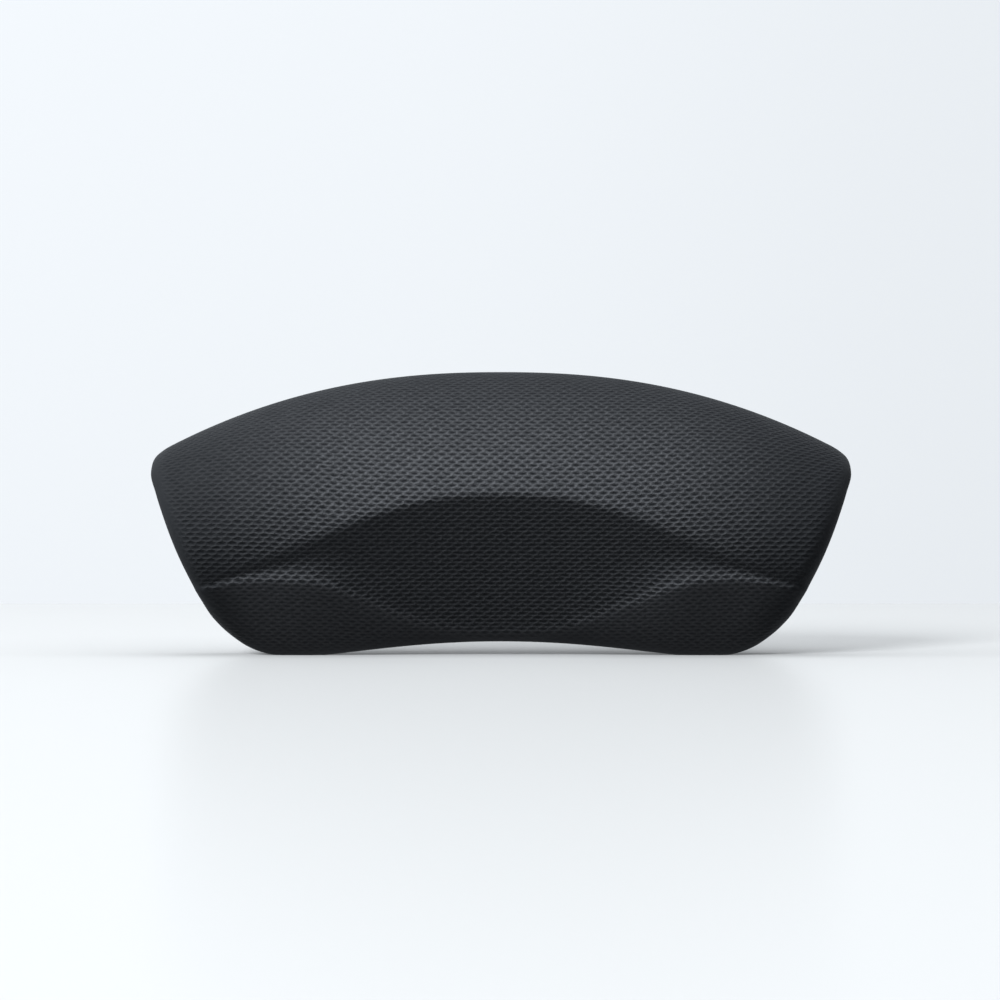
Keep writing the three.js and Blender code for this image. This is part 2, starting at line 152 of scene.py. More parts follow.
# Grain: scales of the noise that bends its rows and frays its pits, and how far pits fray
DRIFT_SCALE = 170.0
FRAY_SCALE = 620.0
FRAY_REACH = (0.55, 0.4, 0.0)

# Pits, in cells of the grain: their reach, the softness of their corners, how steep their
# bowls are and the depths they come in
PIT_REACHES = (0.44, 0.54)
PIT_CORNER = 0.04
BOWL_POWER = 1.7
PIT_DEPTHS = (0.7, 1.0)

# The slit of painted shade in a pit, in cells: its raise towards the pit's upper wall, half
# its size, its lengths and its soft edge
SLIT_RAISE = (0.0, 0.07, 0.0)
SLIT_HALF_WIDTH = 0.45
SLIT_HALF_HEIGHT = 0.16
SLIT_LENGTHS = (0.8, 1.25)
SLIT_EDGE = (0.3, 1.15)

# Height from one row of the lattice to the next, when its cells are 1 wide
HALF_ROW = math.sqrt(3) / 2

# Ridges: where a pit's wall becomes one, and how its tone is flecked
RIDGE_EDGE = (0.2, 0.85)
FLECK_NOISE = (0.35, 0.68)
FLECK_LEVELS = (0.45, 1.3)

# Fine texture: scale of its tone, as a share of its height's. Noise stands for a low tone
# up to the first level, and for a high one from the second
TONE_SCALE_SHARE = 0.05
TONE_NOISE = (0.3, 0.7)

# Handling: where noise becomes polish or a scuff, and how scuffs are drawn out and finer
POLISH_EDGE = (0.35, 0.65)
SCUFF_EDGE = (0.66, 0.74)
SCUFF_STRETCH = (1.0, 1.0, 7.0)
SCUFF_FINENESS = 9.0

# Skin: ridges where the grain has faded, painted shade in the pits, polish of patches and
# ridges, gloss, its darker tone, and the height and size of the mould's fine texture
FADED_RIDGE = 0.4
PIT_SHADE_SHARE = 0.9
HAND_POLISH = 0.05
RIDGE_POLISH = 0.06
SKIN_GLOSS = 0.06
SKIN_DARKER = 0.86
SKIN_TONE_SHARE = 0.5
SPARK_HEIGHT = 0.00006
SPARK_SIZE = 0.0006
SKIN_PATCH = 0.035

# Plastic: patches that hands have polished, by how much, its tones, and its texture's
# height in grains
PLASTIC_PATCH = 0.03
PLASTIC_POLISH = 0.12
PLASTIC_DARKER = 0.82
SCUFF_PALER = 2.2
SCUFF_LIFT = 0.02
PLASTIC_RELIEF = 0.22

# Rubber: its mould's rings, its bloom, its roughness and how light spreads in it
RUBBER_RING_PITCH = 0.0009
RUBBER_RING_HEIGHT = 0.00001
RUBBER_PATCH = 0.04
RUBBER_BLOOM = 1.06
RUBBER_ROUGHNESS = (0.17, 0.2)
RUBBER_SPREAD = 0.12
RUBBER_SPREAD_REACH = (0.003, 0.003, 0.003)

# Metal: scale, tone and reach of the tarnish, roughness, height of the tool's rings, and
# painted shade in a socket
TARNISH_SCALE = 400.0
TARNISH_DARKER = 0.7
METAL_ROUGHNESS_SHARES = (0.8, 1.25)
TARNISH_EDGE = (0.45, 0.7)
TARNISH_SHARE = 0.6
METAL_RING_HEIGHT = 0.000006
SOCKET_SHADE_SHARE = 0.93
SOCKET_SHADE_COLOUR = (0.012, 0.012, 0.013)

# Foam: pores to a metre, the edge of a pore, its painted shade and its depth
PORE_SCALE = 900.0
PORE_SHADE = 0.62
FOAM_ROUGHNESS = 0.95
PORE_EDGE = (0.15, 0.6)
PORE_HEIGHT = 0.0004

# The stage's sheets: the share of their colour that lamps light, the level they have of
# their own, how they bounce light, their gloss and its roughness, and shade at a contact
FLOOR_LOOK = {
    "lit_share": 0.42,
    "own_level": 0.56,
    "bounce": 0.17,
    "gloss": 0.22,
    "roughness": 0.24,
    "contact": 0.74,
}
WALL_LOOK = {
    "lit_share": 0.38,
    "own_level": 0.72,
    "bounce": 0.6,
    "gloss": 0.0,
    "roughness": 0.5,
    "contact": 0.0,
}

# Contact shade, in metres: how far things shade the floor, how open the floor is at full
# shade, and where the shade fades in front of the pillow and around it
SHADE_DISTANCE = 0.22
SHADE_OPEN = 0.52
SHADE_FRONT = (-0.05, 0.02)
SHADE_FRONT_LEVEL = 0.2
SHADE_FADE = (0.3, 0.5)

# Painted shade: the stage's own glow dims a little towards the right
DIM_STRETCH = (-0.1, 0.4)
DIM_LEVEL = 0.93

# Lamps, in metres: where each stands, how wide it is and what it points at
KEY_PLACE = (-3.45, -4.5, 6.8)
KEY_SIZE = 3.9
SIDE_PLACE = (-1.6, -0.3, 1.0)
SIDE_SIZE = 0.6
FLOOR_LIGHT_PLACE = (-2.9, -6.8, 3.0)
FLOOR_LIGHT_SIZE = 2.6
PILLOW_TARGET = (0, 0, 0.07)
FLOOR_TARGET = (0, 0, 0)
WORLD_COLOUR = (0.96, 0.98, 1)
CLIP_START = 0.01

# Where a Mix node keeps its two inputs and its output, for each kind of value
MIX_SOCKETS = {"RGBA": (6, 7, 2), "VECTOR": (4, 5, 1)}


def framed(name, description, metres):
    """A length in metres, as the frame gives it."""
    return FloatProperty(
        name=name, description=description, default=metres, subtype="DISTANCE", unit="LENGTH"
    )


def length(name, description, millimetres):
    """A length that is written in millimetres."""
    return framed(name, description, millimetres * MILLIMETRE)


def amount(name, description, value):
    """A share or a level, which has no unit."""
    return FloatProperty(name=name, description=description, default=value, min=0)


def power(name, description, watts):
    return FloatProperty(name=name, description=description, default=watts, unit="POWER")


def number(name, description, value):
    return IntProperty(name=name, description=description, default=value)


def colour(name, description, value):
    return FloatVectorProperty(
        name=name, description=description, default=value, subtype="COLOR", min=0, max=1
    )


class PillowShape(bpy.types.PropertyGroup):
    width: framed("Width", "Widest part of the pillow", skin_high.x - skin_low.x)
    height: framed("Height", "Top of the brow above the feet", skin_high.z - skin_low.z)
    depth: framed("Depth", "From the flat back to the crest", skin_high.y - skin_low.y)
    upper_corner: length("Upper corner", "Height of the two upper corners", 96.2)
    corner_drop: length("Corner drop", "How far the outline rounds off at the upper corners", 0.9)
    corner_run: length("Corner run", "Length of the outline over which it rounds off", 6)
    lower_corner: length("Lower corner", "Height of the two lower corners", 7.1)
    foot_radius: length("Foot radius", "Round between a foot and its lower corner", 42)
    arch_height: length("Arch height", "Rise of the bottom edge at the middle", 7.1)
    arch_half_width: length("Arch half width", "From the middle to where a foot begins", 90)
    foot_cut: length("Foot flat", "How much of each foot is pressed flat", 0.5)
    crest_end_fall: length("Crest fall", "How far the crest falls back at the ends", 14.5)
    foot_depth: length("Foot depth", "From the flat back to the front of a foot", 25)
    rim_radius: length("Rim radius", "Round of the left and right rims", 10)
    back_radius: length("Back radius", "Round between the walls and the back", 5)
    top_land: length("Top land", "Flat strip along the top behind the brow", 1.5)
    crest_height: length("Crest height", "Height of the crest at the middle", 75.8)
    lobe_height: length("Lobe height", "Height that the lip's shares are taken of", 36.3)
    crest_round: length("Crest round", "Corner round of the crest at the middle", 1.6)
    crest_end_round: length("Crest end round", "Corner round of the crest at the ends", 7)
    lip_round: length("Lip round", "Corner round of the lobes' lip", 2.6)
    valley_round: length("Valley round", "Corner round in the hollow", 7)
    skin_thickness: length("Skin", "Thickness of the moulded skin", 2.2)
    clearance: length("Clearance", "Gap between two pieces that touch", 0.3)


class PillowMesh(bpy.types.PropertyGroup):
    columns: number("Columns", "Faces from the middle to a rim", 84)
    rim_columns: number("Rim columns", "Faces round a rim", 16)
    foam_columns: number("Foam columns", "The same, for the foam", 28)
    foam_rim_columns: number("Foam rim", "Faces round a foam rim", 5)
    wall_rings: number("Wall rings", "Faces along the walls", 9)
    round_rings: number("Round rings", "Faces round the back edge", 6)
    back_rings: number("Back rings", "Faces across the back", 4)


class GrainFinish(bpy.types.PropertyGroup):
    column_pitch: length("Column pitch", "Width of one pebble of the grain", 4.98)
    row_spacing: length("Row spacing", "From one staggered row to the next", 2.01)
    depth: length("Grain depth", "Depth of the pits between the ridges", 0.6)
    wander: length("Wander", "How far the rows stray from a true lattice", 1.1)
    level_height: length("Level height", "Height at which the rows run level", 45)
    rim_fade_start: length("Rim fade start", "Smooth strip at the left and right rims", 1.5)
    rim_fade: length("Rim fade", "Where the grain is full beside a rim", 9)
    top_fade: length("Top fade", "Where the grain is full below the top edge", 28)
    foot_fade: length("Foot fade", "Where the grain is full above the underside", 16)
    # Painted shade and light on the grain's ridges: their wear is kept low as painted shade at the
    # top edge, at the rims and in the hollow under the crest, and raised as painted light on the
    # lobes, with a painted highlight along the lobes' lip
    wear_and_shade_from_top: length("Wear and shade from top", "Where the ridges' wear is full below the top, past the painted shade at the top edge", 88)
    wear_and_shade_from_rim: length("Wear and shade from rim", "Where the ridges' wear is full beside a rim, past the painted shade at the rims", 100)
    wear_and_light_blend: length("Wear and light blend", "Where the wear and painted light blend beyond the crest and the lip", 4)
    least_wear_and_light: amount("Edge wear and shade", "Share of wear at the top edge and the rims, kept low as painted shade", 0.05)
    hollow_wear_and_shade: amount("Wear in the shaded hollow", "Share of wear in the hollow, kept low as painted shade", 0.42)
    lobe_wear_and_light: amount("Lobes' wear and light", "Share of wear on the two lobes, raised as painted light", 1.15)
    lip_painted_highlight: amount("Lip highlight", "Painted highlight that the ridges gain along the lobes' lip", 0.42)
    lip_highlight_reach: length("Lip highlight reach", "How far from the lip that the painted highlight ends", 7)
    top_share: amount("Top share", "Share of the grain that is left at the top edge", 0.5)
    lobe_share: amount("Lobe share", "Share of the grain that is left on the two lobes", 0.5)
    lobe_fade: length("Lobe fade", "Where the lobes' grain is faint below the lip", 7)
    skin_colour: colour("Skin", "Charcoal of the moulded skin", (0.0225, 0.025, 0.0287))
    # The ridges' lighter tone, laid by their wear and by painted shade and light
    ridge_wear_and_light_colour: colour("Ridges", "Lighter tone of the ridges, laid by their wear and by painted light", (0.1, 0.1068, 0.1185))
    # Painted shade in the pits
    pit_shade_colour: colour("Pits", "Painted shade down in the pits", (0.0095, 0.011, 0.014))
    roughness: amount("Roughness", "Roughness of the skin", 0.7)


class PanelShape(bpy.types.PropertyGroup):
    foot_margin: length("Foot margin", "Plate's foot above the lower corners", 15)
    foot_inset: length("Foot inset", "Plate's foot corners in from the pillow's", 8.5)
    side_margin: length("Side margin", "Plate's shoulders in from the pillow's ends", 21)
    top_margin: length("Top margin", "Plate's edge below the pillow's top", 17)
    tray_wall: length("Tray wall", "Thickness of the tray's wall", 2)
    tray_depth: length("Tray depth", "How far the tray reaches into the foam", 11)
    flange_reach: length("Flange reach", "How far the tray's flange spreads", 7)
    flange_thickness: length("Flange thickness", "Thickness of the tray's flange", 2)
    edge_round: length("Edge round", "Round on the plate's edges", 0.5)
    plate_colour: colour("Plate", "Black of the back plate", (0.021, 0.023, 0.025))
    tray_colour: colour("Tray", "Dark grey of the tray", (0.028, 0.031, 0.035))
    foam_colour: colour("Foam", "Cream of the foam", (0.62, 0.57, 0.45))


class FastenerShape(bpy.types.PropertyGroup):
    head_radius: length("Head radius", "Radius of a screw's head", 2.9)
    shank_radius: length("Shank radius", "Radius of a screw's shank", 1.35)
    head_crown: length("Head dish", "How far the head's face is dished", 0.12)
    head_edge: length("Head edge", "Small round on the head's edge", 0.14)
    socket_flat: length("Socket", "Half the width across the socket's flats", 1)
    socket_depth: length("Socket depth", "Depth of the hexagon socket", 1)
    point_bevel: length("Point", "Bevel at the screw's point", 0.45)
    sides: number("Sides", "Faces round a screw", 48)
    steel_colour: colour("Steel", "Stainless steel of the screws", (0.5, 0.51, 0.52))
    brass_colour: colour("Brass", "Brass of the bushes", (0.56, 0.39, 0.16))


class CupShape(bpy.types.PropertyGroup):
    radius: length("Radius", "Radius of a cup's rim", 25)
    height: length("Height", "Height of the bell behind the plate", 12)
    rim_thickness: length("Rim", "Thickness of the rim", 1.6)
    centre_thickness: length("Centre", "Thickness of the rubber at the centre", 3.6)
    hub_radius: length("Hub", "Radius of the hub that bears on the plate", 11)
    neck_radius: length("Neck", "Radius of the neck in the keyhole", 5)
    head_radius: length("Head", "Radius of the mushroom head", 8)
    head_thickness: length("Head thickness", "Thickness of the mushroom head", 4)
    head_bevel: length("Head bevel", "Bevel on the mushroom head", 1.6)
    plate_thickness: length("Plate", "Thickness of the plate that the neck passes", 3)
    tab_width: length("Tab width", "Width of the pull tab", 9)
    tab_reach: length("Tab reach", "How far the tab stands out from the rim", 8)
    sides: number("Sides", "Faces round a cup", 144)
    rubber_colour: colour("Rubber", "Smoky grey of the cups", (0.165, 0.183, 0.197))


class StudioSetup(bpy.types.PropertyGroup):
    frame_width: length("Frame width", "Width that the picture shows at the pillow", 468)
    camera_distance: length("Camera distance", "From the camera to the pillow's outline", 1600)
    camera_height: length("Camera height", "Camera above the floor", 73.2)
    camera_x: length("Camera side step", "Camera to the right of the pillow's middle", -0.5)
    outline_y: length("Outline plane", "Where the pillow's outline lies, front to back", -12)
    sensor: FloatProperty(name="Sensor", description="Sensor width in millimetres", default=36)
    wall_y: length("Wall", "Wall behind the pillow", 806)
    floor_reach: length("Floor reach", "Floor from the middle to each side", 5000)
    key_power: power("Key", "Power of the key light", 950)
    world_level: amount("World", "Level of the world's light", 0.045)
    side_power: power("Side", "Power of the side light", 8)
    floor_power: power("Floor light", "Power of the floor's low light", 1360)
    floor_colour: colour("Floor", "Pale floor", (0.865, 0.9, 0.925))
    wall_colour: colour("Wall", "Pale wall", (0.84, 0.88, 0.92))


# Shape of the pillow's sections


def between(before, a, b, after, t):
    """A smooth value between a and b, whose slopes come from their neighbours."""
    bend = t * t * (3 - 2 * t)
    rise = (b - before) / 2 * t * (1 - t) ** 2
    fall = (after - a) / 2 * t * t * (1 - t)
    return a + (b - a) * bend + rise - fall


def smooth_value(values, share):
    """A smooth value at a share of the way along even steps, mirrored at the start."""
    last = len(values) - 1
    place = min(abs(share), 1) * last
    start = min(int(place), last - 1)
    a = values[start]
    b = values[start + 1]
    after = 2 * b - a if start + 2 > last else values[start + 2]
    return between(values[abs(start - 1)], a, b, after, place - start)


def along(values, share):
    """The same, averaged over a short stretch so that no step shows in a highlight."""
    middle = len(AVERAGE_WEIGHTS) // 2
    total = sum(
        smooth_value(values, share + AVERAGE_REACH * (index - middle) / middle) * weight
        for index, weight in enumerate(AVERAGE_WEIGHTS)
    )
    return total / sum(AVERAGE_WEIGHTS)


def side_half_width(shape, height):
    """Half width of the outline at a height."""
    share = (height - shape.lower_corner) / (shape.upper_corner - shape.lower_corner)
    place = min(max(share, 0), 1) * (len(SIDE_SHARES) - 1)
    start = min(int(place), len(SIDE_SHARES) - 2)
    steered = (SIDE_END_SHARES[0], *SIDE_SHARES, SIDE_END_SHARES[1])
    return shape.width / 2 * between(*steered[start : start + 4], place - start)


def top_height(shape, across):
    """The top edge, which rounds off a little more at its upper corners."""
    fall = (shape.height - shape.upper_corner) * across ** TOP_FALL_POWER_SHARE
    past = across - 1 + shape.corner_run / (shape.width / 2)
    drop = shape.corner_drop * (max(past, 0) * shape.width / 2 / shape.corner_run) ** 2
    return shape.height - fall - drop


def bottom_height(shape, x):
    """The bottom edge: an arch in the middle, two flat feet and a round to each corner."""
    arch = shape.arch_height * max(1 - (x / shape.arch_half_width) ** 2, 0) ** ARCH_POWER_SHARE
    corner_half_width = shape.width / 2 * SIDE_SHARES[0]
    rise = shape.lower_corner + shape.foot_cut
    run = math.sqrt(2 * shape.foot_radius * rise - rise * rise)
    past = min(max(x - corner_half_width + run, 0), run)
    corner = shape.foot_radius - math.sqrt(shape.foot_radius**2 - past**2)
    return max(arch, corner) - shape.foot_cut


def rim_fall(shape, across):
    """How far the quarter round of a rim falls back."""
    radius = shape.rim_radius
    from_edge = min((1 - across) * shape.width / 2, radius)
    return radius - math.sqrt(max(radius**2 - (radius - from_edge) ** 2, 0))


def crest_depth(shape, across):
    fall = shape.crest_end_fall * across**CREST_FALL_POWER_SHARE
    return shape.depth - fall - rim_fall(shape, across)


def shortened(points, start_cut, end_cut):
    """A chain of points with a length cut off each end."""

    def cut(chain, distance):
        left = distance
        for index in range(len(chain) - 1):
            step = (chain[index + 1] - chain[index]).length
            if step > left:
                return [chain[index].lerp(chain[index + 1], left / step)] + chain[index + 1 :]
            left -= step
        return chain[-2:]

    front = cut(points, start_cut)
    return cut(front[::-1], end_cut)[::-1]


def row_lengths(points):
    """Distance from the first point to each point of a chain."""
    walked = [0]
    for a, b in zip(points, points[1:]):
        walked.append(walked[-1] + (b - a).length)
    return walked


def evenly(points, count):
    """A chain of points resampled to count equal steps."""
    total = row_lengths(points)[-1]
    wanted = [total * index / count for index in range(1, count)]
    found = [points[0]]
    walked = 0
    for a, b in zip(points, points[1:]):
        step = (b - a).length
        while wanted and walked + step >= wanted[0]:
            found.append(a.lerp(b, (wanted.pop(0) - walked) / step))
        walked += step
    return found + [points[-1]] * (len(wanted) + 1)


def corner_round(start, corner, end, count):
    """A curve from start to end that turns at the corner."""
    handle_a = start.lerp(corner, QUADRATIC_SHARE)
    handle_b = end.lerp(corner, QUADRATIC_SHARE)
    return evenly(interpolate_bezier(start, handle_a, handle_b, end, ROUND_STEPS), count)


def at(height, depth):
    """A point of a section."""
    return Vector((height, depth))


def section(shape, across, rows):
    """The front's section at a share of the way across, as (height, depth) points."""
    fall = rim_fall(shape, across)
    crest = at(shape.crest_height * along(CREST_HEIGHT_SHARES, across), crest_depth(shape, across))
    lip = at(
        shape.lobe_height * along(LIP_HEIGHT_SHARES, across),
        shape.depth * along(LIP_DEPTH_SHARES, across) - fall,
    )
    valley = at(
        lip.x + (crest.x - lip.x) * along(VALLEY_RISE_SHARES, across),
        shape.depth * along(VALLEY_DEPTH_SHARES, across) - fall,
    )
    bottom = at(
        bottom_height(shape, across * shape.width / 2 * SIDE_SHARES[0]),
        shape.foot_depth * along(BOTTOM_DEPTH_SHARES, across) - fall,
    )
    top = at(top_height(shape, across), shape.back_radius + shape.top_land)
    lobe_rise = lip.x - bottom.x
    lobe_run = lip.y - bottom.y
    brow_rise = top.x - crest.x
    brow_run = crest.y - top.y
    lean = along(BROW_LEAN_SHARES, across) * brow_rise
    lobe = interpolate_bezier(
        bottom,
        at(bottom.x, bottom.y + LOBE_FOOT_SHARE * lobe_run),
        at(lip.x - LOBE_RISE_SHARE * lobe_rise, lip.y - LOBE_LEAN_SHARE * lobe_run),
        lip,
        LOBE_STEPS,
    )
    brow = interpolate_bezier(
        crest,
        at(crest.x + BROW_RISE_SHARE * brow_rise, crest.y - lean),
        at(top.x, top.y + along(BROW_TOP_SHARES, across) * brow_run),
        top,
        BROW_STEPS,
    )
    shelf_length = (valley - lip).length
    rise_length = (crest - valley).length
    crest_round = shape.crest_round + (shape.crest_end_round - shape.crest_round) * across**2
    lip_cut = min(shape.lip_round, ROUND_LIMIT_SHARE * shelf_length)
    valley_cut = min(shape.valley_round, ROUND_LIMIT_SHARE * min(shelf_length, rise_length))
    crest_cut = min(crest_round, ROUND_LIMIT_SHARE * rise_length)
    lobe = shortened(lobe, 0, lip_cut)
    shelf = shortened([lip, valley], lip_cut, valley_cut)
    rise = shortened([valley, crest], valley_cut, crest_cut)
    brow = shortened(brow, crest_cut, 0)
    stretches = [
        evenly(lobe, rows["lobe"]),
        corner_round(lobe[-1], lip, shelf[0], rows["lip"]),
        evenly(shelf, rows["shelf"]),
        corner_round(shelf[-1], valley, rise[0], rows["valley"]),
        evenly(rise, rows["rise"]),
        corner_round(rise[-1], crest, brow[0], rows["crest"]),
        evenly(brow, rows["brow"]),
    ]
    points = [stretches[0][0]]
    for stretch in stretches:
        points += stretch[1:]
    return points


def column_share(shape, index, columns, rim_columns):
    """How far across a column of the grid lies, closer together round the rims."""
    rim_share = shape.rim_radius / (shape.width / 2)
    if index <= columns:
        return (1 - rim_share) * index / columns
    angle = math.pi / 2 * (columns + rim_columns - index) / rim_columns
    return 1 - rim_share * (1 - math.cos(angle))


def softened(value, low, high):
    """Rises smoothly from 0 at the low end to 1 at the high one."""
    t = min(max((value - low) / (high - low), 0), 1)
    return t * t * (3 - 2 * t)


def blended(a, b, share):
    return a + (b - a) * share


def length_at_height(points, walked, height):
    for index in range(len(points) - 1):
        low = points[index].x
        high = points[index + 1].x
        if low <= height < high:
            step = walked[index + 1] - walked[index]
            return walked[index] + step * (height - low) / (high - low)
    return walked[-1]


def grain_levels(grain, from_rim, from_top, from_foot, from_lip, from_crest):
    """How full the grain is at a place and how light its ridges are, from its distances to
    the rim and the two edges, and above the lobes' lip and the crest. The ridges' tone is
    their wear with painted light on it: painted shade at the top edge, the rims and in the
    hollow under the crest, painted light on the lobes and a painted highlight along their lip."""
    at_rim = softened(from_rim, grain.rim_fade_start, grain.rim_fade)
    at_top = blended(grain.top_share, 1, softened(from_top, 0, grain.top_fade))
    at_foot = softened(from_foot, 0, grain.foot_fade)
    at_lip = softened(from_lip, -grain.lobe_fade / 2, grain.lobe_fade / 2)
    mask = at_rim * at_top * at_foot * blended(grain.lobe_share, 1, at_lip)
    # Painted shade: the ridges stay darker towards the top edge and the rims
    clear_of_edge_shade = softened(from_top, 0, grain.wear_and_shade_from_top) * softened(from_rim, 0, grain.wear_and_shade_from_rim)
    upper_wear_and_shade = blended(grain.least_wear_and_light, 1, clear_of_edge_shade)
    reach = grain.wear_and_light_blend
    # Painted shade in the hollow under the crest, painted light on the lobes, and a painted
    # highlight along the lip
    lobe_and_hollow_light = blended(grain.lobe_wear_and_light, grain.hollow_wear_and_shade, softened(from_lip, -reach, reach))
    lobe_and_hollow_light += grain.lip_painted_highlight * (1 - softened(abs(from_lip), 0, grain.lip_highlight_reach))
    lobe_and_hollow_light *= softened(from_rim, 0, grain.wear_and_shade_from_rim / 3)
    return mask, blended(lobe_and_hollow_light, upper_wear_and_shade, softened(from_crest, -reach, reach))


def front_grid(shape, grain, columns, rim_columns, rows):
    """A grid whose points are moved onto the pillow's front, with the grain, its wear and its
    painted shade and light laid on it.
    """
    bm = bmesh.new()
    across_count = columns + rim_columns
    row_count = sum(rows.values())
    crest_row = row_count - rows["brow"] - rows["crest"] // 2
    lip_row = rows["lobe"] + rows["lip"] // 2
    bmesh.ops.create_grid(bm, x_segments=2 * across_count, y_segments=row_count, size=1)
    place_layer = bm.verts.layers.float_vector.new("grain_place")
    mask_layer = bm.verts.layers.float.new("grain_mask")
    # The ridges' wear, with painted shade and light laid on it
    wear_and_light_layer = bm.verts.layers.float.new("ridge_wear_and_painted_light")
    shares = [column_share(shape, index, columns, rim_columns) for index in range(across_count + 1)]
    sections = [section(shape, share, rows) for share in shares]
    lengths = [row_lengths(points) for points in sections]
    levels = [
        length_at_height(points, walked, grain.level_height)
        for points, walked in zip(sections, lengths)
    ]
    plan = [Vector((share * shape.width / 2, crest_depth(shape, share))) for share in shares]
    stretch = [walked - point.x for walked, point in zip(row_lengths(plan), plan)]
    widths = [side_half_width(shape, point.x) for point in sections[-1]]
    for vert in bm.verts:
        column = round(vert.co.x * across_count)
        row = round((vert.co.y + 1) / 2 * row_count)
        side = -1 if column < 0 else 1
        column = abs(column)
        point = sections[column][row]
        x = side * shares[column] * widths[row]
        vert.co = (x, back_y - point.y, max(point.x, 0))
        walked = lengths[column]
        here = walked[row]
        vert[place_layer] = (x + side * stretch[column], here - levels[column], 0)
        vert[mask_layer], vert[wear_and_light_layer] = grain_levels(
            grain,
            from_rim=(1 - shares[column]) * shape.width / 2,
            from_top=walked[-1] - here,
            from_foot=here,
            from_lip=here - walked[lip_row],
            from_crest=here - walked[crest_row],
        )
    return bm


def open_edges(bm):
    return [edge for edge in bm.edges if edge.is_boundary]


def open_ring(bm):
    """The open edge's vertices in order, anticlockwise in the front view."""
    first = open_edges(bm)[0].verts[0]
    ring = [first]
    previous = None
    vert = first
    while True:
        edge = next(edge for edge in vert.link_edges if edge.is_boundary and edge is not previous)
        vert = edge.other_vert(vert)
        if vert is first:
            break
        ring.append(vert)
        previous = edge
    area = sum(a.co.x * b.co.z - b.co.x * a.co.z for a, b in zip(ring, ring[1:] + ring[:1]))
    return ring if area > 0 else ring[::-1]


def way_out(ring, index, direction, window):
    """Adds up the outward directions along one side of a ring's vertex."""
    total = Vector()
    left = window
    while left > 0:
        here = ring[index % len(ring)].co
        index += direction
        run = (ring[index % len(ring)].co - here) * direction
        run.y = 0
        if run.length > 0:
            total += Vector((run.z, 0, -run.x)) * min(left / run.length, 1)
        left -= run.length
    return total


def outward_normals(bm, window):
    """For each vertex of the open edge, its way out in the front view, averaged along a
    window so that a sharp corner fans out instead of folding over."""
    ring = open_ring(bm)
    return {
        vert: (way_out(ring, index, 1, window) + way_out(ring, index, -1, window)).normalized()
        for index, vert in enumerate(ring)
    }


def next_ring(bm, carried):
    """Extrudes the open edge once; what each vertex carried goes to its new neighbour."""
    made = bmesh.ops.extrude_edge_only(bm, edges=open_edges(bm))
    fresh = [item for item in made["geom"] if isinstance(item, bmesh.types.BMVert)]
    moved = {}
    for vert in fresh:
        source = next(
            edge.other_vert(vert) for edge in vert.link_edges if edge.other_vert(vert) in carried
        )
        moved[vert] = carried[source]
    return moved


def close_walls(bm, shape, mesh):
    """Extrudes the front's edge back along the walls and round onto the flat back."""
    normals = outward_normals(bm, NORMAL_WINDOW_SHARE * shape.back_radius)
    place_layer = bm.verts.layers.float_vector.get("grain_place")
    mask_layer = bm.verts.layers.float.get("grain_mask")
    carried = {
        vert: (vert.co.copy(), normal, Vector(vert[place_layer]), vert[mask_layer])
        for vert, normal in normals.items()
    }
    reach = shape.back_radius
    for ring in range(1, mesh.wall_rings + 1):
        carried = next_ring(bm, carried)
        share = ring / mesh.wall_rings
        for vert, (start, normal, place, mask) in carried.items():
            depth = back_y - start.y
            gone = (depth - reach) * share
            vert.co = (start.x, start.y + gone, start.z)
            vert[place_layer] = place + Vector((normal.x, normal.z, 0)) * gone
            vert[mask_layer] = mask * (1 - share)
    for ring in range(1, mesh.round_rings + 1):
        carried = next_ring(bm, carried)
        angle = math.pi / 2 * ring / mesh.round_rings
        for vert, (start, normal, place, mask) in carried.items():
            inward = reach * (1 - math.cos(angle))
            depth = reach * (1 - math.sin(angle))
            level = max(start.z - normal.z * inward, 0)
            vert.co = (start.x - normal.x * inward, back_y - depth, level)
            gone = back_y - start.y - reach + reach * angle
            vert[place_layer] = place + Vector((normal.x, normal.z, 0)) * gone
    return carried


# Back panel outline


def panel_corners(shape, panel, distance):
    """The panel's corners moved out by a distance, each where its shifted edges meet."""
    half = shape.width / 2
    foot = max(shape.arch_height, shape.lower_corner) + panel.foot_margin
    foot_half = half * SIDE_SHARES[0] - panel.foot_inset
    shoulder_half = half - panel.side_margin
    across = shoulder_half / half
    fall = (shape.height - shape.upper_corner) * across**TOP_FALL_POWER_SHARE
    shoulder = shape.height - fall - panel.top_margin
    crown = shape.height - panel.top_margin
    peak = shoulder + (crown - shoulder) / (1 - PANEL_CROWN_SHARE / 2)
    corners = [
        Vector((-foot_half, foot)),
        Vector((foot_half, foot)),
        Vector((shoulder_half, shoulder)),
        Vector((0, peak)),
        Vector((-shoulder_half, shoulder)),
    ]
    moved = []
    for index, corner in enumerate(corners):
        into = (corner - corners[index - 1]).normalized()
        out_of = (corners[(index + 1) % len(corners)] - corner).normalized()
        normal = Vector((into.y + out_of.y, -into.x - out_of.x))
        moved.append(corner + normal * (2 * distance / normal.length_squared))
    return moved


def panel_outline(shape, panel, distance):
    """The panel's outline, moved out by a distance, as a closed chain of points."""
    corners = panel_corners(shape, panel, distance)
    points = []
    for index, corner in enumerate(corners):
        crown = index == CROWN_CORNER
        share = PANEL_CROWN_SHARE if crown else PANEL_CORNER_SHARE
        start = corner.lerp(corners[index - 1], share)
        end = corner.lerp(corners[(index + 1) % len(corners)], share)
        steps = PANEL_CROWN_STEPS if crown else PANEL_CORNER_STEPS
        points += corner_round(start, corner, end, steps)
    return points


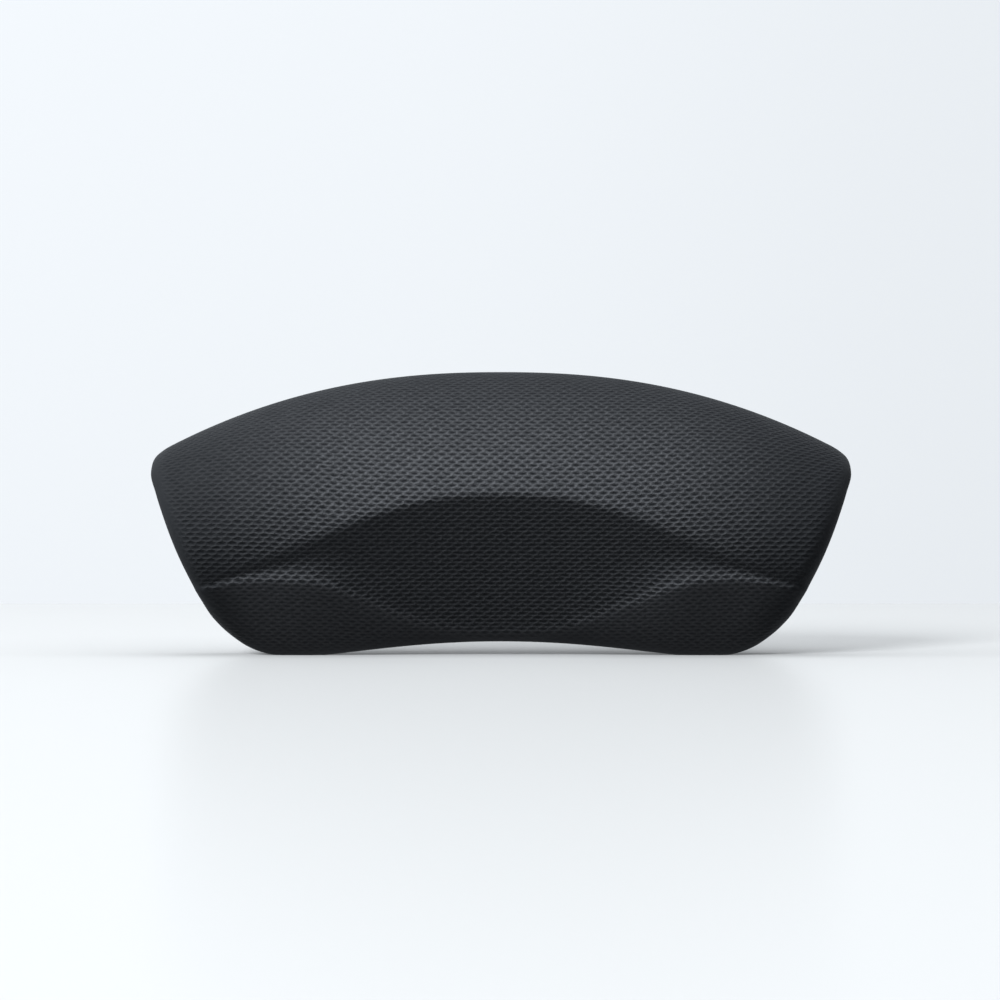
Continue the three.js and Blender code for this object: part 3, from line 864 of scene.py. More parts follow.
def outline_hit(outline, centre, direction):
    """Where a ray from the centre meets a closed outline."""
    for a, b in zip(outline, outline[1:] + outline[:1]):
        edge = b - a
        cross = direction.x * edge.y - direction.y * edge.x
        if abs(cross) < PARALLEL:
            continue
        to_a = a - centre
        reach = (to_a.x * edge.y - to_a.y * edge.x) / cross
        share = (to_a.x * direction.y - to_a.y * direction.x) / cross
        if reach > 0 and -END_SLACK <= share <= 1 + END_SLACK:
            return centre + direction * reach
    raise ValueError("a ray from the panel's middle missed its outline")


def ring_to_outline(bm, carried, outline, rings):
    """Extrudes the open edge across to an outline at its own depth, in a few rings."""
    centre = Vector((0, (outline[0].y + max(point.y for point in outline)) / 2))
    carried = {vert: vert.co.copy() for vert in carried}
    for ring in range(1, rings + 1):
        carried = next_ring(bm, carried)
        for vert, start in carried.items():
            flat = Vector((start.x, start.z))
            hit = outline_hit(outline, centre, (flat - centre).normalized())
            place = flat.lerp(hit, ring / rings)
            vert.co = (place.x, start.y, place.y)
    return carried


# Meshes


def new_object(bm, name, material):
    mesh = bpy.data.meshes.new(name)
    bm.to_mesh(mesh)
    bm.free()
    mesh.materials.append(material)
    made = bpy.data.objects.new(name, mesh)
    bpy.context.scene.collection.objects.link(made)
    return made


def finished(bm, name, body, material):
    """Makes an object of a bmesh, with smooth shading, its material and its body."""
    piece = new_object(bm, name, material)
    piece.data.shade_smooth()
    piece.data.set_sharp_from_angle(angle=SMOOTH_ANGLE)
    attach(piece, body)
    return piece


def pillow_shell(shape, mesh, grain, panel):
    """The skin's outer face, with an open edge round the tray on the back."""
    bm = front_grid(shape, grain, mesh.columns, mesh.rim_columns, FRONT_ROWS)
    carried = close_walls(bm, shape, mesh)
    opening = panel_outline(shape, panel, panel.tray_wall + 2 * shape.clearance)
    ring_to_outline(bm, carried, opening, mesh.back_rings)
    bmesh.ops.recalc_face_normals(bm, faces=bm.faces)
    return bm


def drawn_in(bm, distance, flat_y):
    """Moves a shell in along its normals, with its back kept flat."""
    bm.normal_update()
    places = {vert: vert.co - vert.normal * distance for vert in bm.verts}
    for vert, place in places.items():
        vert.co = (place.x, min(place.y, flat_y), place.z)


def foam_filling(shape, mesh, grain, panel):
    """The foam: the shell drawn in, with a pocket for the tray and its flange."""
    bm = front_grid(shape, grain, mesh.foam_columns, mesh.foam_rim_columns, FOAM_ROWS)
    carried = close_walls(bm, shape, mesh)
    bmesh.ops.recalc_face_normals(bm, faces=bm.faces)
    gap = shape.skin_thickness + shape.clearance
    drawn_in(bm, gap, back_y - gap)
    flange = panel_outline(shape, panel, panel.flange_reach + shape.clearance)
    wall = panel_outline(shape, panel, panel.tray_wall + 2 * shape.clearance)
    carried = ring_to_outline(bm, carried, flange, 2)
    ledge_y = back_y - shape.skin_thickness - panel.flange_thickness - 2 * shape.clearance
    pocket_y = back_y - panel.tray_depth - shape.clearance
    carried = next_ring(bm, carried)
    for vert in carried:
        vert.co.y = ledge_y
    carried = ring_to_outline(bm, carried, wall, 1)
    for vert in next_ring(bm, carried):
        vert.co.y = pocket_y
    floor = bmesh.ops.contextual_create(bm, geom=open_edges(bm))["faces"]
    bmesh.ops.triangulate(bm, faces=floor)
    bmesh.ops.recalc_face_normals(bm, faces=bm.faces)
    return bm


def axis_layer(bm, centre):
    """Each vertex's place across its own axis, for turned and moulded rings."""
    layer = bm.verts.layers.float_vector.new("axis_place")
    for vert in bm.verts:
        vert[layer] = (vert.co.x - centre.x, vert.co.z - centre.z, vert.co.y - back_y)


def spun(profile, sides, centre):
    """A profile of (radius, depth) points spun about a line from back to front."""
    bm = bmesh.new()
    chain = [bm.verts.new((radius, back_y - depth, 0)) for radius, depth in profile]
    edges = [bm.edges.new(pair) for pair in zip(chain, chain[1:])]
    bmesh.ops.spin(
        bm,
        geom=chain + edges,
        cent=(0, 0, 0),
        axis=(0, 1, 0),
        angle=math.tau,
        steps=sides,
        use_merge=True,
    )
    bmesh.ops.remove_doubles(bm, verts=bm.verts, dist=SPIN_WELD)
    bmesh.ops.translate(bm, verts=bm.verts, vec=(centre.x, 0, centre.z))
    return bm


def arc_points(centre, radius, start, end, steps):
    """Points on an arc in a profile's plane; angles in degrees."""
    points = []
    for index in range(steps + 1):
        angle = math.radians(start + (end - start) * index / steps)
        points.append((centre[0] + radius * math.cos(angle), centre[1] + radius * math.sin(angle)))
    return points


def curve_points(points, handles, steps):
    """Points on a smooth curve between two ends with two handles."""
    ends = [Vector(point) for point in points]
    shaped = [Vector(handle) for handle in handles]
    made = interpolate_bezier(ends[0], shaped[0], shaped[1], ends[1], steps + 1)
    return [(point.x, point.y) for point in made]


def cup_profile(shape, clearance):
    """The section of a cup: head, neck, hub, bell, rim and bowl, as (radius, depth)."""
    head_back = shape.plate_thickness + clearance
    head_front = head_back + shape.head_thickness
    proud = clearance + shape.height
    bowl_radius = shape.radius - shape.rim_thickness
    bowl_depth = -proud + shape.height - shape.centre_thickness
    fillet = CUP_FILLET_SHARE * shape.rim_thickness
    bell = curve_points(
        ((shape.hub_radius, -clearance - fillet), (shape.radius, -proud + shape.rim_thickness)),
        (
            (shape.hub_radius + fillet, -clearance - BELL_HUB_REACH * shape.height),
            (shape.radius - 2 * shape.rim_thickness, -proud + BELL_RIM_REACH * shape.height),
        ),
        CUP_CURVE_STEPS,
    )
    bowl = curve_points(
        ((bowl_radius, -proud + fillet), (0, bowl_depth)),
        (
            (bowl_radius - 2 * shape.rim_thickness, bowl_depth - BOWL_REACH * shape.height),
            (bowl_radius / 2, bowl_depth),
        ),
        CUP_CURVE_STEPS,
    )
    bevel = shape.head_bevel
    shoulder = (shape.head_radius - bevel, head_front - bevel)
    underside = (shape.head_radius - fillet, head_back + fillet)
    return [
        (0, head_front),
        *arc_points(shoulder, bevel, 90, 0, HEAD_ROUND_STEPS),
        *arc_points(underside, fillet, 0, -90, FILLET_STEPS),
        (shape.neck_radius, head_back),
        (shape.neck_radius, -clearance),
        (shape.hub_radius - fillet, -clearance),
        *bell,
        *arc_points((shape.radius - fillet, -proud + fillet), fillet, 0, -90, FILLET_STEPS),
        (bowl_radius + fillet, -proud),
        *bowl,
    ]


def add_pull_tab(bm, shape, centre):
    """Draws a rounded tab out of the rim's outer wall, at its top."""
    bm.normal_update()
    side = shape.tab_width / 2
    root = [
        face
        for face in bm.faces
        if abs(face.normal.y) < WALL_FACING
        and abs(face.calc_center_median().x - centre.x) < side
        and face.calc_center_median().z - centre.z > shape.radius * TAB_ROOT_SHARE
    ]
    made = bmesh.ops.extrude_face_region(bm, geom=root)
    bmesh.ops.delete(bm, geom=root, context="FACES")
    tip = [item for item in made["geom"] if isinstance(item, bmesh.types.BMVert)]
    reach = shape.radius + shape.tab_reach
    radius = side * TIP_ROUND_SHARE
    for vert in tip:
        x = vert.co.x - centre.x
        round_off = radius - math.sqrt(max(radius**2 - x * x, 0))
        vert.co.z = centre.z + reach - round_off
    middle = [edge for vert in tip for edge in vert.link_edges if edge.other_vert(vert) not in tip]
    bmesh.ops.subdivide_edges(bm, edges=list(set(middle)), cuts=TAB_CUTS)


# Materials


def wired(tree, socket, value):
    """Sets a socket to a number, a colour or another node's output."""
    if isinstance(value, bpy.types.NodeSocket):
        tree.links.new(value, socket)
    else:
        socket.default_value = value


def made_node(tree, kind, inputs=(), **settings):
    node = tree.nodes.new(kind)
    for name, value in settings.items():
        setattr(node, name, value)
    for name, value in dict(inputs).items():
        wired(tree, node.inputs[name], value)
    return node


def sums(tree, operation, *values):
    inputs = dict(enumerate(values))
    return made_node(tree, "ShaderNodeMath", inputs, operation=operation).outputs[0]


def times(tree, a, b):
    return sums(tree, "MULTIPLY", a, b)


def less(tree, a, b):
    return sums(tree, "SUBTRACT", a, b)


def vector_sums(tree, operation, *values):
    inputs = dict(enumerate(values))
    node = made_node(tree, "ShaderNodeVectorMath", inputs, operation=operation)
    return node.outputs["Value" if operation in ("DOT_PRODUCT", "LENGTH") else "Vector"]


def scaled(tree, vector, factor):
    inputs = {0: vector, "Scale": factor}
    return made_node(tree, "ShaderNodeVectorMath", inputs, operation="SCALE").outputs[0]


def ranged(tree, value, low, high, to_low, to_high, kind="SMOOTHSTEP"):
    titles = ("Value", "From Min", "From Max", "To Min", "To Max")
    inputs = dict(zip(titles, (value, low, high, to_low, to_high)))
    return made_node(tree, "ShaderNodeMapRange", inputs, interpolation_type=kind).outputs[0]


def mixed(tree, kind, factor, a, b):
    first, second, result = MIX_SOCKETS[kind]
    inputs = {0: factor, first: a, second: b}
    return made_node(tree, "ShaderNodeMix", inputs, data_type=kind).outputs[result]


def opaque(value):
    """A plain colour with its alpha; another node's output stays as it is."""
    return value if isinstance(value, bpy.types.NodeSocket) else (*value, 1)


def mixed_colours(tree, factor, a, b):
    return mixed(tree, "RGBA", factor, opaque(a), opaque(b))


def mixed_shaders(tree, factor, a, b):
    return made_node(tree, "ShaderNodeMixShader", {0: factor, 1: a, 2: b}).outputs[0]


def noise(tree, place, scale, detail=2.0, roughness=0.5):
    inputs = {"Vector": place, "Scale": scale, "Detail": detail, "Roughness": roughness}
    return made_node(tree, "ShaderNodeTexNoise", inputs).outputs


def split(tree, vector):
    return made_node(tree, "ShaderNodeSeparateXYZ", {"Vector": vector}).outputs


def attribute(tree, name, output="Vector"):
    """A value that was laid on the mesh when it was made."""
    return made_node(tree, "ShaderNodeAttribute", attribute_name=name).outputs[output]


def object_place(tree):
    return made_node(tree, "ShaderNodeTexCoord").outputs["Object"]


def axis_radius(tree):
    """Distance from a turned piece's own axis."""
    across = vector_sums(tree, "MULTIPLY", attribute(tree, "axis_place"), (1.0, 1.0, 0.0))
    return vector_sums(tree, "LENGTH", across)


def turned_rings(tree, run, pitch):
    """Fine rings or lines that come again after each pitch."""
    return sums(tree, "SINE", times(tree, run, math.tau / pitch))


def bumped(tree, height, distance, normal=None, strength=1.0):
    inputs = {"Height": height, "Distance": distance, "Strength": strength}
    if normal is not None:
        inputs["Normal"] = normal
    return made_node(tree, "ShaderNodeBump", inputs).outputs["Normal"]


def shaded(base, factor, lift=0.0):
    """A colour made darker or paler."""
    return [value * factor + lift for value in base]


def effect_group(name, numbers, outputs):
    """A shader group that takes a place and named numbers, and gives named numbers out;
    returns it, still empty, with its two end nodes."""
    tree = bpy.data.node_groups.new(name, "ShaderNodeTree")
    tree.interface.new_socket("Place", in_out="INPUT", socket_type="NodeSocketVector")
    for title, value in numbers.items():
        socket = tree.interface.new_socket(title, in_out="INPUT", socket_type="NodeSocketFloat")
        socket.default_value = value
    for title in outputs:
        tree.interface.new_socket(title, in_out="OUTPUT", socket_type="NodeSocketFloat")
    start = tree.nodes.new("NodeGroupInput")
    end = tree.nodes.new("NodeGroupOutput")
    return tree, start.outputs, end.inputs


def nearest_cell(tree, flat):
    """The place in the nearest cell of a staggered lattice, from that cell's middle."""
    high = (0.5, HALF_ROW, 0.5)
    low = (-0.5, -HALF_ROW, -0.5)
    near = vector_sums(tree, "WRAP", flat, high, low)
    shifted = vector_sums(tree, "ADD", flat, (0.5, HALF_ROW, 0.0))
    other = vector_sums(tree, "WRAP", shifted, high, low)
    near_length = vector_sums(tree, "LENGTH", near)
    other_length = vector_sums(tree, "LENGTH", other)
    further = sums(tree, "GREATER_THAN", near_length, other_length)
    return mixed(tree, "VECTOR", further, near, other)


def pebble_group(name):
    """Staggered rows of wide six-sided pits between thin ridges, as left by the mould, with a slit
    of painted shade high in each pit.
    """
    group, given, out = effect_group(
        name,
        {"Column pitch": 0.005, "Row spacing": 0.002, "Wander": 0.0005},
        ("Height", "Ridge", "Slit shade"),
    )
    middle = (0.5, 0.5, 0.5)
    drift = noise(group, given["Place"], DRIFT_SCALE, roughness=0.55)
    centred = vector_sums(group, "SUBTRACT", drift["Color"], middle)
    place = vector_sums(group, "ADD", given["Place"], scaled(group, centred, given["Wander"]))
    ragged = noise(group, given["Place"], FRAY_SCALE, roughness=0.6)
    edges = vector_sums(group, "SUBTRACT", ragged["Color"], middle)
    jagged = vector_sums(group, "MULTIPLY", edges, FRAY_REACH)
    parts = split(group, place)
    across = sums(group, "DIVIDE", parts["X"], given["Column pitch"])
    up = times(group, sums(group, "DIVIDE", parts["Y"], given["Row spacing"]), HALF_ROW)
    flat = made_node(group, "ShaderNodeCombineXYZ", {"X": across, "Y": up}).outputs[0]
    local = nearest_cell(group, flat)
    centre = vector_sums(group, "SUBTRACT", flat, local)
    counted = vector_sums(group, "MULTIPLY", centre, (2.0, 1 / HALF_ROW, 0.0))
    whole = vector_sums(group, "FLOOR", vector_sums(group, "ADD", counted, middle))
    cell = made_node(group, "ShaderNodeTexWhiteNoise", {"Vector": whole}).outputs["Color"]
    drawn = made_node(group, "ShaderNodeSeparateColor", {"Color": cell}).outputs
    sides = vector_sums(group, "ABSOLUTE", local)
    sloped = vector_sums(group, "DOT_PRODUCT", sides, (0.5, HALF_ROW, 0.0))
    edge = sums(group, "SMOOTH_MAX", split(group, sides)["X"], sloped, PIT_CORNER)
    reach = ranged(group, drawn[0], 0.0, 1.0, *PIT_REACHES, "LINEAR")
    wall = sums(group, "MINIMUM", sums(group, "DIVIDE", edge, reach), 1.0)
    bowl = less(group, 1.0, sums(group, "POWER", wall, BOWL_POWER))
    sunk = ranged(group, drawn[1], 0.0, 1.0, *PIT_DEPTHS, "LINEAR")
    shift = vector_sums(group, "SUBTRACT", local, SLIT_RAISE)
    shift = vector_sums(group, "ADD", shift, jagged)
    slit_scale = (1 / SLIT_HALF_WIDTH, 1 / SLIT_HALF_HEIGHT, 0.0)
    squashed = vector_sums(group, "MULTIPLY", shift, slit_scale)
    length_share = ranged(group, drawn[2], 0.0, 1.0, *SLIT_LENGTHS, "LINEAR")
    from_slit = times(group, vector_sums(group, "LENGTH", squashed), length_share)
    slit = ranged(group, from_slit, *SLIT_EDGE, 1.0, 0.0)
    fleck = ranged(group, ragged["Fac"], *FLECK_NOISE, *FLECK_LEVELS, "LINEAR")
    ridge = ranged(group, wall, *RIDGE_EDGE, 0.0, 1.0)
    wired(group, out["Height"], less(group, 1.0, times(group, bowl, sunk)))
    wired(group, out["Ridge"], times(group, ridge, fleck))
    wired(group, out["Slit shade"], times(group, slit, sunk))
    return group


def spark_group(name):
    """The fine, even texture of a spark-eroded mould."""
    group, given, out = effect_group(name, {"Grain size": 0.0004}, ("Height", "Tone"))
    scale = sums(group, "DIVIDE", 1.0, given["Grain size"])
    fine = noise(group, given["Place"], scale, detail=3.0, roughness=0.6)
    broad = noise(group, given["Place"], times(group, scale, TONE_SCALE_SHARE))
    wired(group, out["Height"], fine["Fac"])
    wired(group, out["Tone"], broad["Fac"])
    return group


def handling_group(name):
    """Patches that hands and water have left slightly smoother, and a few fine scuffs."""
    group, given, out = effect_group(
        name, {"Patch size": 0.03, "Scuffs": 0.5}, ("Polish", "Scuff")
    )
    scale = sums(group, "DIVIDE", 1.0, given["Patch size"])
    patches = noise(group, given["Place"], scale, detail=3.0, roughness=0.55)
    stretched = vector_sums(group, "MULTIPLY", given["Place"], SCUFF_STRETCH)
    streaks = noise(group, stretched, times(group, scale, SCUFF_FINENESS), roughness=0.7)
    thin = ranged(group, streaks["Fac"], *SCUFF_EDGE, 0.0, 1.0)
    wired(group, out["Polish"], ranged(group, patches["Fac"], *POLISH_EDGE, 0.0, 1.0))
    wired(group, out["Scuff"], times(group, thin, given["Scuffs"]))
    return group


effects = {
    "Moulded pebbles": pebble_group,
    "Fine mould texture": spark_group,
    "Handling": handling_group,
}


def placed_effect(tree, name, **inputs):
    """Adds an effect to a tree, building its group the first time; returns its outputs."""
    group = bpy.data.node_groups.get(name) or effects[name](name)
    titled = {title.replace("_", " "): value for title, value in inputs.items()}
    return made_node(tree, "ShaderNodeGroup", titled, node_tree=group).outputs


def emptied(owner, output_kind):
    """An owner's own node tree, emptied down to its output's surface."""
    owner.use_nodes = True
    tree = owner.node_tree
    tree.nodes.clear()
    return tree, tree.nodes.new(output_kind).inputs["Surface"]


def new_finish(name):
    material = bpy.data.materials.new(name)
    return material, *emptied(material, "ShaderNodeOutputMaterial")


def surfaced(tree, surface, inputs):
    """Lays one shader with these inputs on a finish's surface."""
    shader = made_node(tree, "ShaderNodeBsdfPrincipled", inputs)
    tree.links.new(shader.outputs[0], surface)


def skin_finish(grain):
    material, tree, surface = new_finish("grained_skin")
    mask = attribute(tree, "grain_mask", "Fac")
    pebble = placed_effect(
        tree,
        "Moulded pebbles",
        Place=attribute(tree, "grain_place"),
        Column_pitch=grain.column_pitch,
        Row_spacing=grain.row_spacing,
        Wander=grain.wander,
    )
    place = object_place(tree)
    spark = placed_effect(tree, "Fine mould texture", Place=place, Grain_size=SPARK_SIZE)
    hands = placed_effect(tree, "Handling", Place=place, Patch_size=SKIN_PATCH, Scuffs=0.0)
    ridges = ranged(tree, mask, 0.0, 1.0, FADED_RIDGE, pebble["Ridge"], "LINEAR")
    # Painted shade in the pits
    pits = times(tree, times(tree, pebble["Slit shade"], PIT_SHADE_SHARE), mask)
    tone = ranged(tree, spark["Tone"], *TONE_NOISE, 0.0, SKIN_TONE_SHARE, "LINEAR")
    base = mixed_colours(tree, tone, grain.skin_colour, shaded(grain.skin_colour, SKIN_DARKER))
    # The ridges' lighter tone, laid by their wear and by painted shade and light
    ridges_with_wear_and_light = times(tree, ridges, attribute(tree, "ridge_wear_and_painted_light", "Fac"))
    tone_with_wear_and_light = mixed_colours(tree, ridges_with_wear_and_light, base, grain.ridge_wear_and_light_colour)
    rough = less(tree, grain.roughness, times(tree, hands["Polish"], HAND_POLISH))
    fine = bumped(tree, spark["Height"], SPARK_HEIGHT)
    inputs = {
        "Base Color": mixed_colours(tree, pits, tone_with_wear_and_light, grain.pit_shade_colour),
        "Roughness": less(tree, rough, times(tree, ridges, RIDGE_POLISH)),
        "Specular IOR Level": SKIN_GLOSS,
        "Normal": bumped(tree, pebble["Height"], grain.depth, fine, mask),
    }
    surfaced(tree, surface, inputs)
    return material


def foam_finish(panel):
    material, tree, surface = new_finish("poured_foam")
    settings = {"Vector": object_place(tree), "Scale": PORE_SCALE}
    cells = made_node(tree, "ShaderNodeTexVoronoi", settings, feature="SMOOTH_F1")
    pores = ranged(tree, cells.outputs["Distance"], *PORE_EDGE, 0.0, 1.0)
    # Painted shade in the pores, by the same mask that sinks them
    dark = shaded(panel.foam_colour, PORE_SHADE)
    inputs = {
        "Base Color": mixed_colours(tree, pores, panel.foam_colour, dark),
        "Roughness": FOAM_ROUGHNESS,
        "Normal": bumped(tree, pores, PORE_HEIGHT),
    }
    surfaced(tree, surface, inputs)
    return material


def plastic_finish(name, base_colour, grain_size, roughness, scuffs):
    """Moulded plastic with a spark texture, polished patches and pale scuffs."""
    material, tree, surface = new_finish(name)
    place = object_place(tree)
    spark = placed_effect(tree, "Fine mould texture", Place=place, Grain_size=grain_size)
    hands = placed_effect(tree, "Handling", Place=place, Patch_size=PLASTIC_PATCH, Scuffs=scuffs)
    darker = shaded(base_colour, PLASTIC_DARKER)
    paler = shaded(base_colour, SCUFF_PALER, SCUFF_LIFT)
    base = mixed_colours(tree, spark["Tone"], darker, base_colour)
    inputs = {
        "Base Color": mixed_colours(tree, hands["Scuff"], base, paler),
        "Roughness": less(tree, roughness, times(tree, hands["Polish"], PLASTIC_POLISH)),
        "Normal": bumped(tree, spark["Height"], grain_size * PLASTIC_RELIEF),
    }
    surfaced(tree, surface, inputs)
    return material


def rubber_finish(cup):
    """Smoky moulded rubber with faint rings from its mould and a thin bloom."""
    material, tree, surface = new_finish("cup_rubber")
    place = object_place(tree)
    hands = placed_effect(tree, "Handling", Place=place, Patch_size=RUBBER_PATCH, Scuffs=0.0)
    bloom = shaded(cup.rubber_colour, RUBBER_BLOOM)
    rings = turned_rings(tree, axis_radius(tree), RUBBER_RING_PITCH)
    inputs = {
        "Base Color": mixed_colours(tree, hands["Polish"], cup.rubber_colour, bloom),
        "Roughness": ranged(tree, hands["Polish"], 0.0, 1.0, *RUBBER_ROUGHNESS),
        "Subsurface Weight": RUBBER_SPREAD,
        "Subsurface Radius": RUBBER_SPREAD_REACH,
        "Normal": bumped(tree, rings, RUBBER_RING_HEIGHT),
    }
    surfaced(tree, surface, inputs)
    return material


def metal_finish(name, base_colour, roughness, ring_pitch, turned=False):
    """Tarnished metal, drawn along its length, or turned about its own axis with painted shade
    in its socket."""
    material, tree, surface = new_finish(name)
    place = object_place(tree)
    run = axis_radius(tree) if turned else split(tree, place)["Y"]
    tarnish = noise(tree, place, TARNISH_SCALE, detail=3.0)["Fac"]
    cover = ranged(tree, tarnish, *TARNISH_EDGE, 0.0, TARNISH_SHARE)
    tone = mixed_colours(tree, cover, base_colour, shaded(base_colour, TARNISH_DARKER))
    if turned:
        # Painted shade in the socket
        painted_socket_shade = times(tree, attribute(tree, "socket_shade", "Fac"), SOCKET_SHADE_SHARE)
        tone = mixed_colours(tree, painted_socket_shade, tone, SOCKET_SHADE_COLOUR)
    rough_ends = [roughness * share for share in METAL_ROUGHNESS_SHARES]
    inputs = {
        "Base Color": tone,
        "Metallic": 1.0,
        "Roughness": ranged(tree, tarnish, *TONE_NOISE, *rough_ends),
        "Normal": bumped(tree, turned_rings(tree, run, ring_pitch), METAL_RING_HEIGHT),
    }
    surfaced(tree, surface, inputs)
    return material


def diffuse(tree, base):
    return made_node(tree, "ShaderNodeBsdfDiffuse", {"Color": (*base, 1)}).outputs[0]


def seen_directly(tree):
    """1 for rays from the camera, a mirror or glass, and 0 for bounced light."""
    path = tree.nodes.new("ShaderNodeLightPath").outputs
    direct = sums(tree, "MAXIMUM", path["Is Camera Ray"], path["Is Glossy Ray"])
    return sums(tree, "MAXIMUM", direct, path["Is Transmission Ray"])


def contact_shade(tree, place, level):
    """How far things above shade the stage, fading out in front of them and all round."""
    near = made_node(tree, "ShaderNodeAmbientOcclusion", {"Distance": SHADE_DISTANCE}, samples=8)
    shade = ranged(tree, near.outputs["AO"], SHADE_OPEN, 1.0, level, 0.0, "LINEAR")
    front = ranged(tree, split(tree, place)["Y"], *SHADE_FRONT, SHADE_FRONT_LEVEL, 1.0)
    fade = ranged(tree, vector_sums(tree, "LENGTH", place), *SHADE_FADE, 1.0, 0.0)
    return times(tree, times(tree, shade, front), fade)


def stage_finish(name, base_colour, look):
    """A pale stage surface: bright to the camera, quieter as a source of bounced light.
    Its back is clear, so that no view from behind is blocked."""
    material, tree, surface = new_finish(name)
    place = object_place(tree)
    uncovered = less(tree, 1.0, contact_shade(tree, place, look["contact"]))
    # Painted shade: the glow dims towards the right
    dimmed = ranged(tree, split(tree, place)["X"], *DIM_STRETCH, 1.0, DIM_LEVEL)
    level = times(tree, times(tree, look["own_level"], uncovered), dimmed)
    glow = made_node(tree, "ShaderNodeEmission", {"Color": opaque(base_colour), "Strength": level})
    seen = diffuse(tree, shaded(base_colour, look["lit_share"]))
    lit = made_node(tree, "ShaderNodeAddShader", {0: seen, 1: glow.outputs[0]}).outputs[0]
    gloss = {"Color": (1, 1, 1, 1), "Roughness": look["roughness"]}
    mirror = made_node(tree, "ShaderNodeBsdfGlossy", gloss).outputs[0]
    shown = mixed_shaders(tree, times(tree, look["gloss"], uncovered), lit, mirror)
    quiet = diffuse(tree, [look["bounce"]] * 3)
    inner = mixed_shaders(tree, seen_directly(tree), quiet, shown)
    clear = tree.nodes.new("ShaderNodeBsdfTransparent").outputs[0]
    behind = tree.nodes.new("ShaderNodeNewGeometry").outputs["Backfacing"]
    tree.links.new(mixed_shaders(tree, behind, inner, clear), surface)
    return material


# Operators


def dressed(name, finish):
    """Gives a CAD node its finish; its mesh stays as it is."""
    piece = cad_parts[name]
    piece.data.materials.clear()
    piece.data.materials.append(finish)
    return piece


class PILLOW_OT_add_skin(bpy.types.Operator):
    """Add the grained skin, lofted through its sections and open round the tray"""

    bl_idname = "bath_pillow.add_skin"
    bl_label = "Add Skin"

    def execute(self, context):
        scene = context.scene
        shape = scene.pillow_shape
        bm = pillow_shell(shape, scene.pillow_mesh, scene.grain_finish, scene.panel_shape)
        skin = finished(bm, "pillow_skin", "pillow", skin_finish(scene.grain_finish))
        wall = skin.modifiers.new("Skin thickness", "SOLIDIFY")
        wall.thickness = shape.skin_thickness
        wall.offset = -1
        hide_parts("moulded_skin")
        return {"FINISHED"}


class PILLOW_OT_add_foam(bpy.types.Operator):
    """Add the poured foam that fills the skin and holds the tray"""

    bl_idname = "bath_pillow.add_foam"
    bl_label = "Add Foam"

    def execute(self, context):
        scene = context.scene
        shape = scene.pillow_shape
        bm = foam_filling(shape, scene.pillow_mesh, scene.grain_finish, scene.panel_shape)
        foam = finished(bm, "poured_foam", "pillow", foam_finish(scene.panel_shape))
        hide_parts("foam_core")
        return {"FINISHED"}


class PILLOW_OT_finish_panel(bpy.types.Operator):
    """Give the tray and the back plate their moulded finishes and soft edges"""

    bl_idname = "bath_pillow.finish_panel"
    bl_label = "Finish Tray and Plate"

    def execute(self, context):
        panel = context.scene.panel_shape
        tray_finish = plastic_finish(
            "tray_plastic", panel.tray_colour, grain_size=0.0005, roughness=0.62, scuffs=0.1
        )
        plate_finish = plastic_finish(
            "plate_plastic", panel.plate_colour, grain_size=0.0004, roughness=0.52, scuffs=0.35
        )
        for piece in (dressed("insert_tray", tray_finish), dressed("back_plate", plate_finish)):
            weld = piece.modifiers.new("Weld", "WELD")
            weld.merge_threshold = EDGE_WELD
            soft = piece.modifiers.new("Soft edges", "BEVEL")
            soft.width = panel.edge_round
            soft.segments = EDGE_SEGMENTS
            soft.limit_method = "ANGLE"
            soft.angle_limit = EDGE_ANGLE
            soft.harden_normals = True
        return {"FINISHED"}


class PILLOW_OT_add_screws(bpy.types.Operator):
    """Add the six countersunk screws, with hexagon sockets and turned heads"""

    bl_idname = "bath_pillow.add_screws"
    bl_label = "Add Screws"

    def execute(self, context):
        fastener = context.scene.fastener_shape
        steel = metal_finish(
            "turned_steel", fastener.steel_colour, roughness=0.3, ring_pitch=0.00022, turned=True
        )
        for name in screw_names:
            bm = socket_screw(name, fastener)
            screw = finished(bm, name.replace("_screw", "_plate_screw"), "pillow", steel)
            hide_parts(name)
        return {"FINISHED"}


class PILLOW_OT_finish_bushes(bpy.types.Operator):
    """Give the six threaded bushes their drawn brass"""

    bl_idname = "bath_pillow.finish_bushes"
    bl_label = "Finish Bushes"

    def execute(self, context):
        fastener = context.scene.fastener_shape
        brass = metal_finish(
            "drawn_brass", fastener.brass_colour, roughness=0.34, ring_pitch=0.0005
        )
        for name in bush_names:
            dressed(name, brass)
        return {"FINISHED"}


class PILLOW_OT_add_cups(bpy.types.Operator):
    """Add the four suction cups, each on the body that slides in its keyhole"""

    bl_idname = "bath_pillow.add_cups"
    bl_label = "Add Suction Cups"

    def execute(self, context):
        shape = context.scene.cup_shape
        clearance = context.scene.pillow_shape.clearance
        rubber = rubber_finish(shape)
        for name in cup_names:
            bm = suction_cup(name, shape, clearance)
            cup = finished(bm, name.replace("_cup", "_suction_cup"), name, rubber)
            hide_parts(name)
        return {"FINISHED"}


class PILLOW_OT_add_stage(bpy.types.Operator):
    """Add the pale floor and wall, the soft lights and the camera"""

    bl_idname = "bath_pillow.add_stage"
    bl_label = "Add Stage"

    def execute(self, context):
        scene = context.scene
        studio = scene.studio_setup
        add_lights(studio, floor=add_floor_and_wall(studio))
        add_world(scene, studio)
        add_camera(scene, studio)
        scene.view_settings.view_transform = "Standard"
        return {"FINISHED"}


